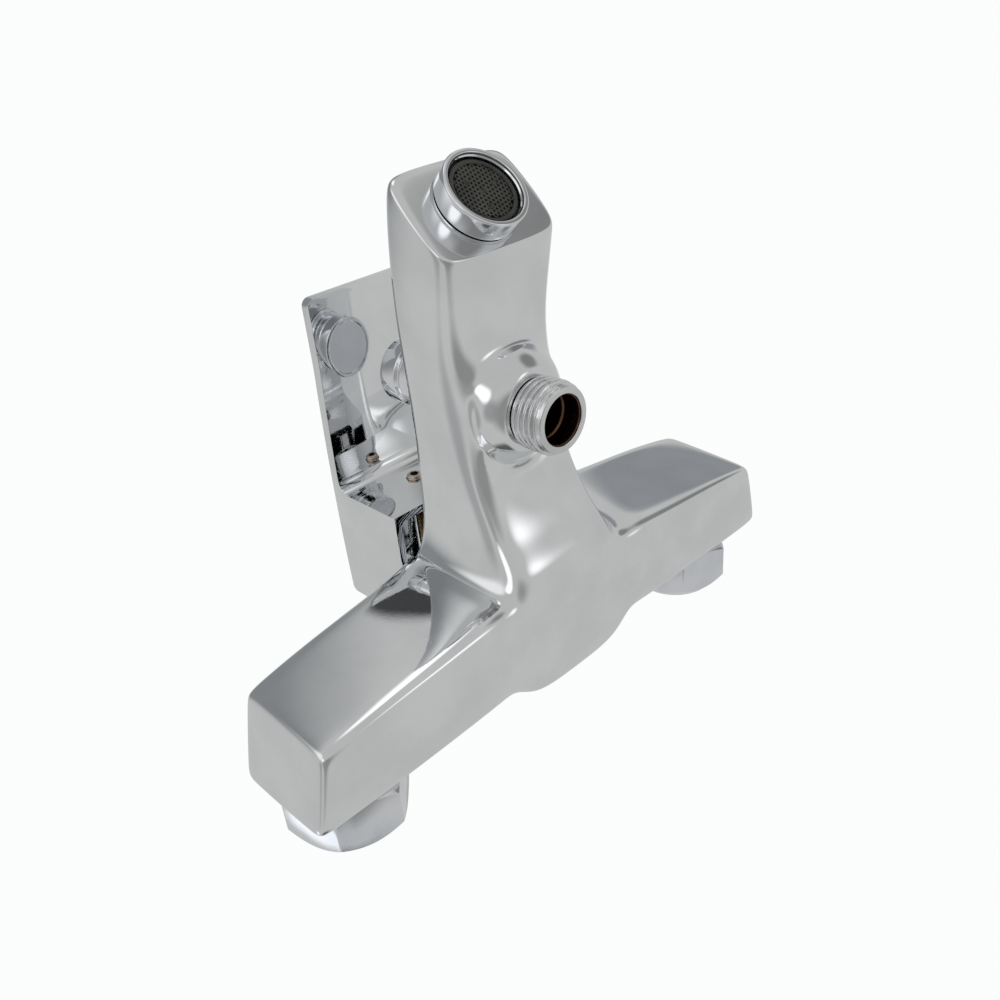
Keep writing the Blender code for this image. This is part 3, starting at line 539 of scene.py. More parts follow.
chromeLooks = {
    "body": {"bright": (0.83, 0.84, 0.85, 1), "dull": (0.76, 0.77, 0.78, 1), "gloss": 0.03,
             "smear": 0.04, "scratch": 0.05, "smearScale": 28.0, "dust": 0.25,
             "rippleScale": 30.0, "ripple": 1.0, "peel": 0.008, "depth": 0.0003},
    "lever": {"bright": (0.84, 0.85, 0.86, 1), "dull": (0.78, 0.79, 0.80, 1), "gloss": 0.035,
              "smear": 0.04, "scratch": 0.05, "smearScale": 34.0, "dust": 0.2,
              "rippleScale": 26.0, "ripple": 1.0, "peel": 0.01, "depth": 0.0002},
    "knob": {"bright": (0.82, 0.83, 0.85, 1), "dull": (0.75, 0.76, 0.79, 1), "gloss": 0.05,
             "smear": 0.05, "scratch": 0.06, "smearScale": 60.0, "dust": 0.3,
             "rippleScale": 60.0, "ripple": 0.5, "peel": 0.02, "depth": 0.00012},
    "trim": {"bright": (0.82, 0.83, 0.85, 1), "dull": (0.74, 0.76, 0.79, 1), "gloss": 0.05,
             "smear": 0.05, "scratch": 0.08, "smearScale": 60.0, "dust": 0.3,
             "rippleScale": 70.0, "ripple": 0.4, "peel": 0.03, "depth": 0.00012},
    "thread": {"bright": (0.80, 0.80, 0.81, 1), "dull": (0.66, 0.66, 0.67, 1), "gloss": 0.12,
               "smear": 0.12, "scratch": 0.15, "smearScale": 150.0, "dust": 0.5,
               "rippleScale": 260.0, "ripple": 0.5, "peel": 0.15, "depth": 0.00025},
    "nut": {"bright": (0.80, 0.81, 0.84, 1), "dull": (0.70, 0.72, 0.76, 1), "gloss": 0.09,
            "smear": 0.08, "scratch": 0.10, "smearScale": 60.0, "dust": 0.4,
            "rippleScale": 90.0, "ripple": 0.5, "peel": 0.05, "depth": 0.0002},
}
chrome = {part: chromeFinish(part + "Chrome", look) for part, look in chromeLooks.items()}

outletAt = tuple(place["outlet"] * mm)
turnedLooks = {
    "outletBrass": {"centre": outletAt, "axis": (0, 0, 1), "spacing": 0.00045, "gloss": 0.26,
                    "bright": (0.20, 0.105, 0.06, 1), "dull": (0.05, 0.028, 0.02, 1),
                    "depth": 0.00006},
    "stemBrass": {"centre": (0, -0.0375, 0), "axis": (0, 0, 1), "spacing": 0.0005, "gloss": 0.24,
                  "bright": (0.74, 0.54, 0.28, 1), "dull": (0.55, 0.36, 0.16, 1),
                  "depth": 0.00005},
    "leftBrass": {"centre": (-0.075, 0, 0), "axis": (0, 1, 0), "spacing": 0.0005, "gloss": 0.22,
                  "bright": (0.76, 0.56, 0.30, 1), "dull": (0.58, 0.38, 0.18, 1),
                  "depth": 0.00005},
    "rightBrass": {"centre": (0.075, 0, 0), "axis": (0, 1, 0), "spacing": 0.0005, "gloss": 0.22,
                   "bright": (0.76, 0.56, 0.30, 1), "dull": (0.58, 0.38, 0.18, 1),
                   "depth": 0.00005},
    "screwBrass": {"centre": (0, 0, 0.0489), "axis": (0, 1, 0), "spacing": 0.0003, "gloss": 0.20,
                   "bright": (0.66, 0.57, 0.50, 1), "dull": (0.34, 0.27, 0.22, 1),
                   "depth": 0.00005},
    "rodSteel": {"centre": outletAt, "axis": (0, 0, 1), "spacing": 0.0003, "gloss": 0.18,
                 "bright": (0.66, 0.66, 0.67, 1), "dull": (0.50, 0.50, 0.51, 1),
                 "depth": 0.00004},
    "pinSteel": {"centre": (0, -0.0375, 0.0225), "axis": (1, 0, 0), "spacing": 0.0003,
                 "gloss": 0.18, "bright": (0.66, 0.66, 0.67, 1), "dull": (0.50, 0.50, 0.51, 1),
                 "depth": 0.00004},
    "meshSteel": {"centre": (0, 0, 0), "axis": (0, 1, 0), "spacing": 0.0002, "gloss": 0.22,
                  "bright": (0.62, 0.62, 0.62, 1), "dull": (0.42, 0.42, 0.43, 1),
                  "depth": 0.00003},
}
turnedMetal = {name: turnedFinish(name, look) for name, look in turnedLooks.items()}

mouldedLooks = {
    "blackRubber": {"bright": (0.020, 0.020, 0.020, 1), "dull": (0.045, 0.045, 0.045, 1),
                    "ior": 1.5, "gloss": 0.55, "glossSpread": 0.25, "flowScale": 60.0,
                    "grainScale": 1400.0, "dust": 0.4, "depth": 0.00008},
    "whitePlastic": {"bright": (0.82, 0.82, 0.80, 1), "dull": (0.72, 0.72, 0.69, 1),
                     "ior": 1.5, "gloss": 0.34, "glossSpread": 0.15, "flowScale": 90.0,
                     "grainScale": 1100.0, "dust": 0.2, "depth": 0.00005},
    "greyPlastic": {"bright": (0.15, 0.15, 0.14, 1), "dull": (0.09, 0.09, 0.08, 1),
                    "ior": 1.5, "gloss": 0.38, "glossSpread": 0.2, "flowScale": 90.0,
                    "grainScale": 1100.0, "dust": 0.2, "depth": 0.00006},
    # Dark grey plastic of the aerator cells and rim, partly its own colour and partly painted shade,
    # darkened where the cell walls catch light.
    "screenPlasticWithShade": {"bright": (0.050, 0.049, 0.041, 1), "dull": (0.027, 0.026, 0.022, 1),
                      "ior": 1.5, "gloss": 0.42, "glossSpread": 0.2, "flowScale": 150.0,
                      "grainScale": 1500.0, "dust": 0.3, "depth": 0.00004},
    "whiteCeramic": {"bright": (0.90, 0.89, 0.86, 1), "dull": (0.82, 0.81, 0.78, 1),
                     "ior": 1.7, "gloss": 0.10, "glossSpread": 0.08, "flowScale": 140.0,
                     "grainScale": 1800.0, "dust": 0.1, "depth": 0.00002},
}
moulded = {name: mouldedFinish(name, look) for name, look in mouldedLooks.items()}
print("finishes ready")


# The cast body: a cage of quads, smoothed, then bored.

bodySizes = {
    "barBottom": -20.5, "barBack": -19.5, "barFront": -45.3, "bodyTop": 24.5,
    "endFront": 90.3, "endBack": 96.2,
    # From the end inward: x front, x back, front y low and high, back y, top z, corner.
    "barStations": (
        (89.0, 95.0, -44.8, -47.2, -19.5, 14.7, 0.9),
        (71.0, 71.0, -47.0, -51.2, -19.5, 14.8, 1.1),
        (53.0, 51.0, -48.4, -53.8, -19.5, 15.3, 1.4),
        (38.5, 31.0, -50.0, -54.8, -19.5, 17.4, 2.0),
        (30.5, 25.0, -51.0, -55.0, -19.2, 21.2, 3.0)),
    # Where the spout leaves the bar.
    "root": ((18.5, -47.5, -20.5), (25.5, -51.0, -15.5), (25.5, -53.5, 19.5),
             (20.5, -49.0, 24.5)),
    "bulge": (17.5, -13.0, 1.4),
    # From root to tip: low y and z, high y and z, half width, corner.
    "spoutSections": (
        (-55.5, -18.6, -60.0, 24.7, 22.4, 5.0),
        (-62.5, -12.6, -68.0, 24.8, 21.2, 4.6),
        (-71.0, -8.4, -77.0, 24.8, 20.7, 4.2),
        (-80.5, -5.0, -87.0, 24.8, 20.6, 5.0),
        (-97.5, -1.1, -99.5, 25.0, 20.7, 5.0),
        (-114.5, 0.2, -113.5, 25.1, 20.9, 4.8),
        (-128.0, -1.1, -133.0, 24.2, 21.3, 3.8),
        (-141.5, -3.0, -160.5, 19.4, 21.8, 3.0)),
    # The outlet boss: the sections it grows between, then radius and z of each ring.
    "bossSpan": (3, 5),
    "bossRings": ((16.8, -2.8), (15.0, -5.6), (12.8, -7.6), (11.4, -8.6), (10.0, -8.8)),
    "tip": {"centre": (0.0, -151.7, 7.4), "wide": 21.8, "tall": 14.9, "corner": 3.4,
            "insets": (0.7, 3.6)},
    "levels": 3,
}


def barRing(shape, side, station, inset=0.0, capReach=None):
    # Eight corners from the bottom front edge round to the bottom back.
    given = bodySizes
    frontX, backX, lowFront, highFront, back, top, corner = station
    bottom = given["barBottom"] + inset
    top -= inset
    lowFront += inset
    highFront += inset
    back -= inset
    spots = ((frontX, lowFront + corner, bottom), (frontX, lowFront, bottom + corner),
             (frontX, highFront, top - corner), (frontX, highFront + corner, top),
             (backX, back - corner, top), (backX, back, top - corner),
             (backX, back, bottom + corner), (backX, back - corner, bottom))
    ring = []
    for x, y, z in spots:
        if capReach is not None:
            share = (y - given["barFront"]) / (given["barBack"] - given["barFront"])
            x = given["endFront"] + (given["endBack"] - given["endFront"]) * share + capReach
        ring.append(shape.verts.new((x * side, y, z)))
    return ring


def joinRings(shape, first, second):
    count = len(first)
    for index in range(count):
        after = (index + 1) % count
        shape.faces.new((first[index], first[after], second[after], second[index]))


def rootStation(shape, side):
    backX, backY, corner = bodySizes["bulge"]
    top, bottom = bodySizes["bodyTop"], bodySizes["barBottom"]
    spots = bodySizes["root"] + ((backX, backY - corner, top), (backX, backY, top - corner),
                                 (backX, backY, bottom + corner), (backX, backY - corner, bottom))
    return [shape.verts.new((x * side, y, z)) for x, y, z in spots]


def middleStation(shape):
    backX, backY, corner = bodySizes["bulge"]
    top, bottom = bodySizes["bodyTop"], bodySizes["barBottom"]
    rootLow, rootHigh = bodySizes["root"][0], bodySizes["root"][3]
    spots = ((rootLow[1], bottom), (rootHigh[1], top), (backY - corner, top),
             (backY, top - corner), (backY, bottom + corner), (backY - corner, bottom))
    return [shape.verts.new((0.0, y, z)) for y, z in spots]


def barArm(shape, side):
    stations = bodySizes["barStations"]
    rings = [barRing(shape, side, stations[0], inset=8.0, capReach=0.6),
             barRing(shape, side, stations[0], inset=0.9, capReach=0.2),
             barRing(shape, side, stations[0], capReach=-1.0)]
    rings += [barRing(shape, side, station) for station in stations[1:]]
    rings.append(rootStation(shape, side))
    cap = rings[0]
    for corners in ((0, 1, 2, 3), (0, 3, 4, 7), (4, 5, 6, 7)):
        shape.faces.new([cap[corner] for corner in corners])
    for first, second in zip(rings, rings[1:]):
        joinRings(shape, first, second)
    return rings[-1]


def spoutRing(shape, section):
    # Ten corners: along the bottom, up the right side, over the top and down.
    lowY, lowZ, highY, highZ, half, corner = section
    slope = (highY - lowY) / (highZ - lowZ)
    lowerY, upperY = lowY + slope * corner, highY - slope * corner
    inner = half - corner
    spots = ((-inner, lowY, lowZ), (0.0, lowY, lowZ), (inner, lowY, lowZ),
             (half, lowerY, lowZ + corner), (half, upperY, highZ - corner),
             (inner, highY, highZ), (0.0, highY, highZ), (-inner, highY, highZ),
             (-half, upperY, highZ - corner), (-half, lowerY, lowZ + corner))
    return [shape.verts.new(spot) for spot in spots]


def tipRing(shape, inset):
    # The rim of the slanted end face, in that face's own plane.
    tip = bodySizes["tip"]
    axis = place["faceAxis"]
    rise = Vector((0.0, axis.z, -axis.y))
    wide, tall, corner = tip["wide"] - inset, tip["tall"] - inset, tip["corner"]
    flat = ((corner - wide, -tall), (0.0, -tall), (wide - corner, -tall),
            (wide, corner - tall), (wide, tall - corner), (wide - corner, tall), (0.0, tall),
            (corner - wide, tall), (-wide, tall - corner), (-wide, corner - tall))
    return [shape.verts.new(Vector(tip["centre"]) + Vector((across, 0.0, 0.0)) + rise * up)
            for across, up in flat]


def growBoss(shape, sections):
    # The outlet boss grows from the four underside faces between two sections.
    start, end = bodySizes["bossSpan"]
    first, middle, last = sections[start:end + 1]
    for near, far in ((first, middle), (middle, last)):
        for column in (0, 1):
            corners = {near[column], near[column + 1], far[column], far[column + 1]}
            for face in list(near[column].link_faces):
                if set(face.verts) == corners:
                    shape.faces.remove(face)
    loop = [first[0], first[1], first[2], middle[2], last[2], last[1], last[0], middle[0]]
    hidden = middle[1]
    shape.verts.remove(hidden)
    shrink = (4.0 + 2.0 * math.cos(math.radians(45.0))) / 6.0  # an octagon's limit curve
    for radius, height in bodySizes["bossRings"]:
        ring = []
        for index in range(8):
            angle = math.radians(135.0 - 45.0 * index)
            spot = place["outlet"] + Vector((math.cos(angle), math.sin(angle), 0.0)) * (
                radius / shrink)
            ring.append(shape.verts.new((spot.x, spot.y, height)))
        joinRings(shape, loop, ring)
        loop = ring
    centre = shape.verts.new((0.0, place["outlet"].y, bodySizes["bossRings"][-1][1]))
    for index in range(0, 8, 2):
        shape.faces.new((loop[index - 1], loop[index], loop[index + 1], centre))


def bodyCage():
    shape = bmesh.new()
    left, right = barArm(shape, -1.0), barArm(shape, 1.0)
    middle = middleStation(shape)
    for station in (left, right):
        back = (station[3], station[4], station[5], station[6], station[7], station[0])
        centre = middle[1:] + middle[:1]
        for index in range(5):
            shape.faces.new((back[index], back[index + 1], centre[index + 1], centre[index]))
    root = [left[0], middle[0], right[0], right[1], right[2], right[3], middle[1], left[3],
            left[2], left[1]]
    sections = [spoutRing(shape, section) for section in bodySizes["spoutSections"]]
    rings = [root] + sections + [tipRing(shape, inset) for inset in bodySizes["tip"]["insets"]]
    for first, second in zip(rings, rings[1:]):
        joinRings(shape, first, second)
    growBoss(shape, sections)
    tip = rings[-1]
    for corners in ((0, 1, 6, 7), (1, 2, 5, 6), (2, 3, 4, 5), (0, 7, 8, 9)):
        shape.faces.new([tip[corner] for corner in corners])
    return shape


def bore(start, end, radius, label, segments=64):
    start, end = Vector(start), Vector(end)
    length = (end - start).length
    profile = [(0.0, 0.0), (radius, 0.0), (radius, length), (0.0, length)]
    return cutter(lathe(profile, start, (end - start).normalized(), segments, 0.11), label)


def makeBody():
    body = asPiece("castBody", plainMesh(bodyCage(), "castBody"), chrome["body"])
    smooth = body.modifiers.new("smooth", "SUBSURF")
    smooth.levels = bodySizes["levels"]
    smooth.render_levels = bodySizes["levels"]
    settle(body)
    outlet, axis, face = place["outlet"], place["faceAxis"], place["faceCentre"]
    cartridge = place["cartridge"]
    tools = [bore(cartridge + upward * -1.5, cartridge + upward * 40.0, 17.8, "pocket"),
             bore(outlet + upward * 6.5, outlet + upward * 40.0, 8.5, "chamber"),
             bore(outlet + upward * -30.0, outlet + upward * 1.0, 8.8, "socket"),
             bore(outlet + upward * -4.0, outlet + upward * 12.0, 5.5, "seat"),
             bore(face - axis * 5.0, face + axis * 9.0, 7.0, "mouth")]
    for sideName, side in sides:
        inlet = Vector((side * place["inletX"], 0.0, 0.0))
        tools.append(bore(inlet - toWall * 34.0, inlet - toWall * 10.0, 10.2,
                          sideName + "Inlet"))
    combine(body, tools)
    body.data.shade_smooth()
    body.data.set_sharp_from_angle(angle=math.radians(42.0))
    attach(body, "base")
    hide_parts("faucet_body")


makeBody()
print("body ready")


# The lever: a thin plate bowed a little at its sides, on a hollow block.

leverSizes = {
    "halfWidth": 21.5, "bow": 0.9, "front": -122.0, "back": -18.2, "top": 64.3,
    "thickness": 3.3, "blockFront": -58.0, "blockBottom": 33.5, "wall": 2.5, "fillet": 4.5,
    "cornerPlan": 2.6, "backCorner": 2.0, "edge": 0.75, "screwZ": 48.9, "stem": 7.0,
}


def leverSide():
    # Side outline as (y, z), from the plate's front edge round to the top.
    given = leverSizes
    under = given["top"] - given["thickness"]
    points = [(given["front"], given["top"]), (given["front"], under)]
    for step in range(13):
        angle = math.radians(90.0 * step / 12)
        points.append((given["blockFront"] - given["fillet"] * (1.0 - math.sin(angle)),
                       under - given["fillet"] * (1.0 - math.cos(angle))))
    points += [(given["blockFront"], given["blockBottom"]), (given["back"], given["blockBottom"])]
    corner = given["backCorner"]
    for step in range(9):
        angle = math.radians(90.0 * step / 8)
        points.append((given["back"] - corner + corner * math.cos(angle),
                       given["top"] - corner + corner * math.sin(angle)))
    return points


def leverPlan():
    # Outline seen from above as (x, y): bowed sides and rounded front corners.
    given = leverSizes
    half, bow, corner = given["halfWidth"] - given["bow"], given["bow"], given["cornerPlan"]
    right = []
    steps = 28
    length = given["back"] - given["front"] - corner
    for step in range(steps + 1):
        share = step / steps
        reach = half + bow * math.sin(math.pi * min(1.0, share * 1.15 + 0.08)) ** 0.8
        right.append((reach, given["back"] - length * share))
    lastX = right[-1][0]
    for step in range(1, 9):
        angle = math.radians(90.0 * step / 8)
        right.append((lastX - corner + corner * math.cos(angle),
                      given["front"] + corner - corner * math.sin(angle)))
    return right + [(-x, y) for x, y in reversed(right)]


def prism(outline, low, high, along):
    shape = bmesh.new()
    if along == "x":
        verts = [shape.verts.new((low, y, z)) for y, z in outline]
        shift = Vector((high - low, 0.0, 0.0))
    else:
        verts = [shape.verts.new((x, y, low)) for x, y in outline]
        shift = Vector((0.0, 0.0, high - low))
    face = shape.faces.new(verts)
    grown = bmesh.ops.extrude_face_region(shape, geom=[face])
    moved = [item for item in grown["geom"] if isinstance(item, bmesh.types.BMVert)]
    bmesh.ops.translate(shape, verts=moved, vec=shift)
    return shape


def makeLever():
    given = leverSizes
    lever = asPiece("leverPlate", plainMesh(prism(leverSide(), -30.0, 30.0, "x"), "leverPlate"),
                    chrome["lever"])
    combine(lever, [cutter(prism(leverPlan(), 20.0, 80.0, "z"), "plan")], "INTERSECT")
    softenEdges(lever, given["edge"], 4)
    under = given["top"] - given["thickness"] - 0.5
    half, wall = given["halfWidth"] - given["wall"], given["wall"]
    cavity = asPiece("cavity", plainMesh(blockShape(
        (-half, given["blockFront"] + wall, 20.0), (half, given["back"] - wall, under)),
        "cavity"), chrome["lever"])
    socketY = place["cartridge"].y
    combine(cavity, [cutter(blockShape((-6.5, given["blockFront"] - 5.0, 43.0),
                                       (6.5, socketY + 7.5, 70.0)), "keep")])
    softenEdges(cavity, 1.2, 3)
    square = cutter(blockShape((-3.9, socketY - 3.9, 30.0), (3.9, socketY + 3.9, 57.0)), "square")
    hole = bore((0.0, -70.0, given["screwZ"]), (0.0, socketY, given["screwZ"]), 2.8, "hole", 40)
    combine(lever, [cavity, square, hole])
    lever.data.shade_smooth()
    lever.data.set_sharp_from_angle(angle=math.radians(30.0))
    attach(lever, "lever")
    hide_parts("handle")


makeLever()
print("lever ready")


# The union nuts, each with a chamfer toward the wall and a thread inside.

nutSizes = {
    "acrossFlats": 32.0, "length": 17.0, "turn": math.radians(-14.5), "edge": 0.45,
    "bore": 12.1, "lipBore": 10.25, "lip": 12.7, "threadCrest": 0.55, "pitch": 1.8,
}


def makeNut(sideName, side):
    given = nutSizes
    centre = Vector((side * place["inletX"], 0.0, 0.0))
    corner = given["acrossFlats"] / math.sqrt(3.0)
    length, facing = given["length"], given["acrossFlats"] / 2.0
    blank = lathe([(0.0, -length), (corner, -length), (corner, 0.0), (0.0, 0.0)], centre, toWall, 6)
    bmesh.ops.rotate(blank, verts=blank.verts, cent=centre,
                     matrix=Matrix.Rotation(-given["turn"], 3, "Y"))
    nut = asPiece("unionNut" + sideName.capitalize(), plainMesh(blank, "nut" + sideName),
                  chrome["nut"])
    softenEdges(nut, given["edge"], 3)
    trim = [(0.0, -20.0), (facing - 0.6, -20.0), (facing - 0.6, -length - 0.2),
            (facing + 3.0, -length + 2.2), (facing + 3.0, -5.3), (facing - 2.5, 0.2),
            (facing - 2.5, 3.0), (0.0, 3.0)]
    combine(nut, [cutter(lathe(trim, centre, toWall, 120), "trim")], "INTERSECT")
    softenEdges(nut, 0.3, 2, 24.0)
    inner = [(0.0, -20.0), (given["lipBore"], -20.0), (given["lipBore"], -given["lip"]),
             (given["bore"], -given["lip"]), (given["bore"], -1.6), (given["bore"] + 1.2, -0.2),
             (given["bore"] + 1.2, 3.0), (0.0, 3.0)]
    combine(nut, [cutter(lathe(inner, centre, toWall, 96), "inner")])
    nut.data.shade_smooth()
    nut.data.set_sharp_from_angle(angle=math.radians(28.0))
    ridge = grow(coilTree, {
        "Coil Radius": (given["bore"] + 0.1) * mm, "Wire Radius": given["threadCrest"] * mm,
        "Height": 9.4 * mm, "Turns": 9.4 / given["pitch"], "Material": chrome["nut"]},
        "nutThread" + sideName.capitalize())
    ridge.transform(Matrix.Translation((centre - toWall * 11.6) * mm)
                    @ axisTurn(toWall).to_4x4())
    thread = asPiece("nutThread" + sideName.capitalize(), ridge, chrome["nut"])
    for piece in (nut, thread):
        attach(piece, sideName + "_nut")
    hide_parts("union_nut_" + sideName)


for sideName, side in sides:
    makeNut(sideName, side)
print("nuts ready")


# Small turned pieces: dome under the lever, diverter knob and its collar.

turnedSizes = {
    "dome": [(15.5, 24.4, 0.2), (15.5, 28.6, 3.0), (13.6, 33.0, 1.6), (9.6, 34.0, 0.4),
             (9.2, 33.9, 0.2), (9.2, 32.6, 0.2), (12.3, 31.2, 1.0), (14.1, 27.5, 1.0),
             (14.1, 24.4, 0.2)],
    "knob": [(0.0, 38.4, 0.0), (2.4, 38.4, 0.0), (2.4, 28.2, 0.1), (7.6, 28.2, 0.5),
             (8.7, 29.4, 1.0), (9.4, 33.0, 3.0), (9.9, 36.8, 1.0), (9.5, 37.4, 0.2),
             (9.5, 38.0, 0.2), (10.4, 38.7, 0.3), (10.4, 45.2, 0.7), (9.2, 45.2, 0.3),
             (8.8, 44.9, 0.3), (0.0, 44.9, 0.0)],
    "collar": [(2.4, 20.5, 0.0), (8.2, 20.5, 0.1), (8.2, 21.5, 0.1), (6.9, 21.5, 0.1),
               (6.9, 23.3, 0.1), (8.2, 23.3, 0.1), (8.2, 25.4, 0.1), (10.2, 25.4, 0.2),
               (10.2, 26.6, 0.4), (9.4, 27.3, 0.4), (2.4, 27.3, 0.2)],
    "retainer": [(9.4, 19.8, 0.1), (17.4, 19.8, 0.2), (17.4, 24.1, 0.5), (9.4, 24.1, 0.2)],
}


def turnedPiece(name, profile, centre, axis, finish, body, node, segments=96, steps=4):
    mesh = plainMesh(lathe(rounded(profile, steps), centre, axis, segments), name)
    piece = asPiece(name, mesh, finish)
    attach(piece, body)
    if node:
        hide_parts(node)
    return piece


turnedPiece("domeCover", turnedSizes["dome"], place["cartridge"], upward, chrome["trim"],
            "base", "dome_cover")
turnedPiece("diverterKnob", turnedSizes["knob"], place["outlet"], upward, chrome["knob"],
            "diverter", "diverter_knob")
turnedPiece("diverterCollar", turnedSizes["collar"], place["outlet"], upward, chrome["trim"],
            "base", "diverter_bonnet")
turnedPiece("retainingRing", turnedSizes["retainer"], place["cartridge"], upward,
            chrome["trim"], "base", "retaining_nut")
print("turned pieces ready")


# The hose outlet: a threaded tube with bare metal inside.

hoseSizes = {
    "end": -19.5, "threadTop": -9.1, "root": 9.35, "crest": 1.0, "pitch": 1.95,
    "bore": 7.05, "segments": 96, "rows": 90,
}


def makeHoseOutlet():
    given = hoseSizes
    length = given["threadTop"] - given["end"] - 1.0
    wall = grow(threadTree, {
        "Root Radius": given["root"] * mm, "Crest Height": given["crest"] * mm,
        "Length": length * mm, "Pitch": given["pitch"] * mm, "Segments": given["segments"],
        "Rows": given["rows"], "Material": chrome["thread"]}, "hoseThread")
    wall.transform(Matrix.Translation((0.0, place["outlet"].y * mm, (given["end"] + 1.0) * mm)))
    shape = bmesh.new()
    shape.from_mesh(wall)
    for vert in shape.verts:
        vert.co /= mm
    rest = rounded([(given["root"], given["end"] + 1.0, 0.0), (given["root"], given["end"], 0.45),
                    (given["bore"] + 0.25, given["end"], 0.25),
                    (given["bore"] + 0.25, -0.8, 0.1), (8.5, -0.8, 0.1),
                    (8.5, given["threadTop"], 0.1), (given["root"], given["threadTop"], 0.0)], 4)
    rest = rest[1:] + rest[:1]
    segments = given["segments"]
    rings = []
    start = [point for point in rest]
    outline = [(given["root"], given["end"] + 1.0)] + start[:-1]
    for radius, height in outline:
        ring = []
        for step in range(segments):
            # The grid starts its first column at angle zero.
            angle = 2.0 * math.pi * step / segments
            ring.append(shape.verts.new((radius * math.cos(angle),
                                         place["outlet"].y + radius * math.sin(angle), height)))
        rings.append(ring)
    for first, second in zip(rings, rings[1:]):
        joinRings(shape, first, second)
    outletPiece = asPiece("hoseOutlet", plainMesh(shape, "hoseOutlet"), chrome["thread"], 50.0)
    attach(outletPiece, "base")
    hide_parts("hose_nipple")
    bore = given["bore"]
    liner = [(bore + 0.22, given["end"] + 0.7, 0.0), (bore + 0.22, -1.0, 0.0), (5.6, -1.0, 0.2),
             (5.6, -5.0, 0.3), (bore - 0.6, -6.2, 0.3), (bore - 0.6, -13.0, 0.3),
             (bore - 0.05, -13.4, 0.2), (bore - 0.05, given["end"] + 0.7, 0.1)]
    turnedPiece("outletLiner", liner, place["outlet"], upward, turnedMetal["outletBrass"],
                "base", None, 72)


makeHoseOutlet()
print("hose outlet ready")


# The aerator: a turned housing, and a dark insert full of small six-sided cells, coloured darker still
# as painted shade, over a black disc that is painted shade inside the holes.

aeratorSizes = {
    "housing": [(10.5, 0.3, 0.0), (11.5, 0.3, 0.1), (11.5, 0.75, 0.1), (12.0, 1.1, 0.25),
                (12.0, 7.0, 0.55), (10.55, 7.0, 0.3), (10.4, 6.2, 0.1), (10.1, 5.8, 0.1),
                (10.1, 2.0, 0.0), (10.5, 2.0, 0.0)],
    "rim": [(8.35, 3.9, 0.1), (9.6, 3.9, 0.1), (9.6, 5.4, 0.45), (8.9, 5.7, 0.3),
            (8.35, 5.3, 0.2)],
    # back: a black disc behind the cells, painted shade seen through the holes.
    "back": [(0.0, 3.1, 0.0), (9.8, 3.1, 0.0), (9.8, 3.8, 0.0), (0.0, 3.8, 0.0)],
    "cellPitch": 1.3, "cellWall": 0.36, "cellHeight": 1.0, "cellTop": 5.25, "reach": 8.1,
    "pillarRing": 4.9, "pillarRadius": 0.85, "turn": math.radians(14.0),
}


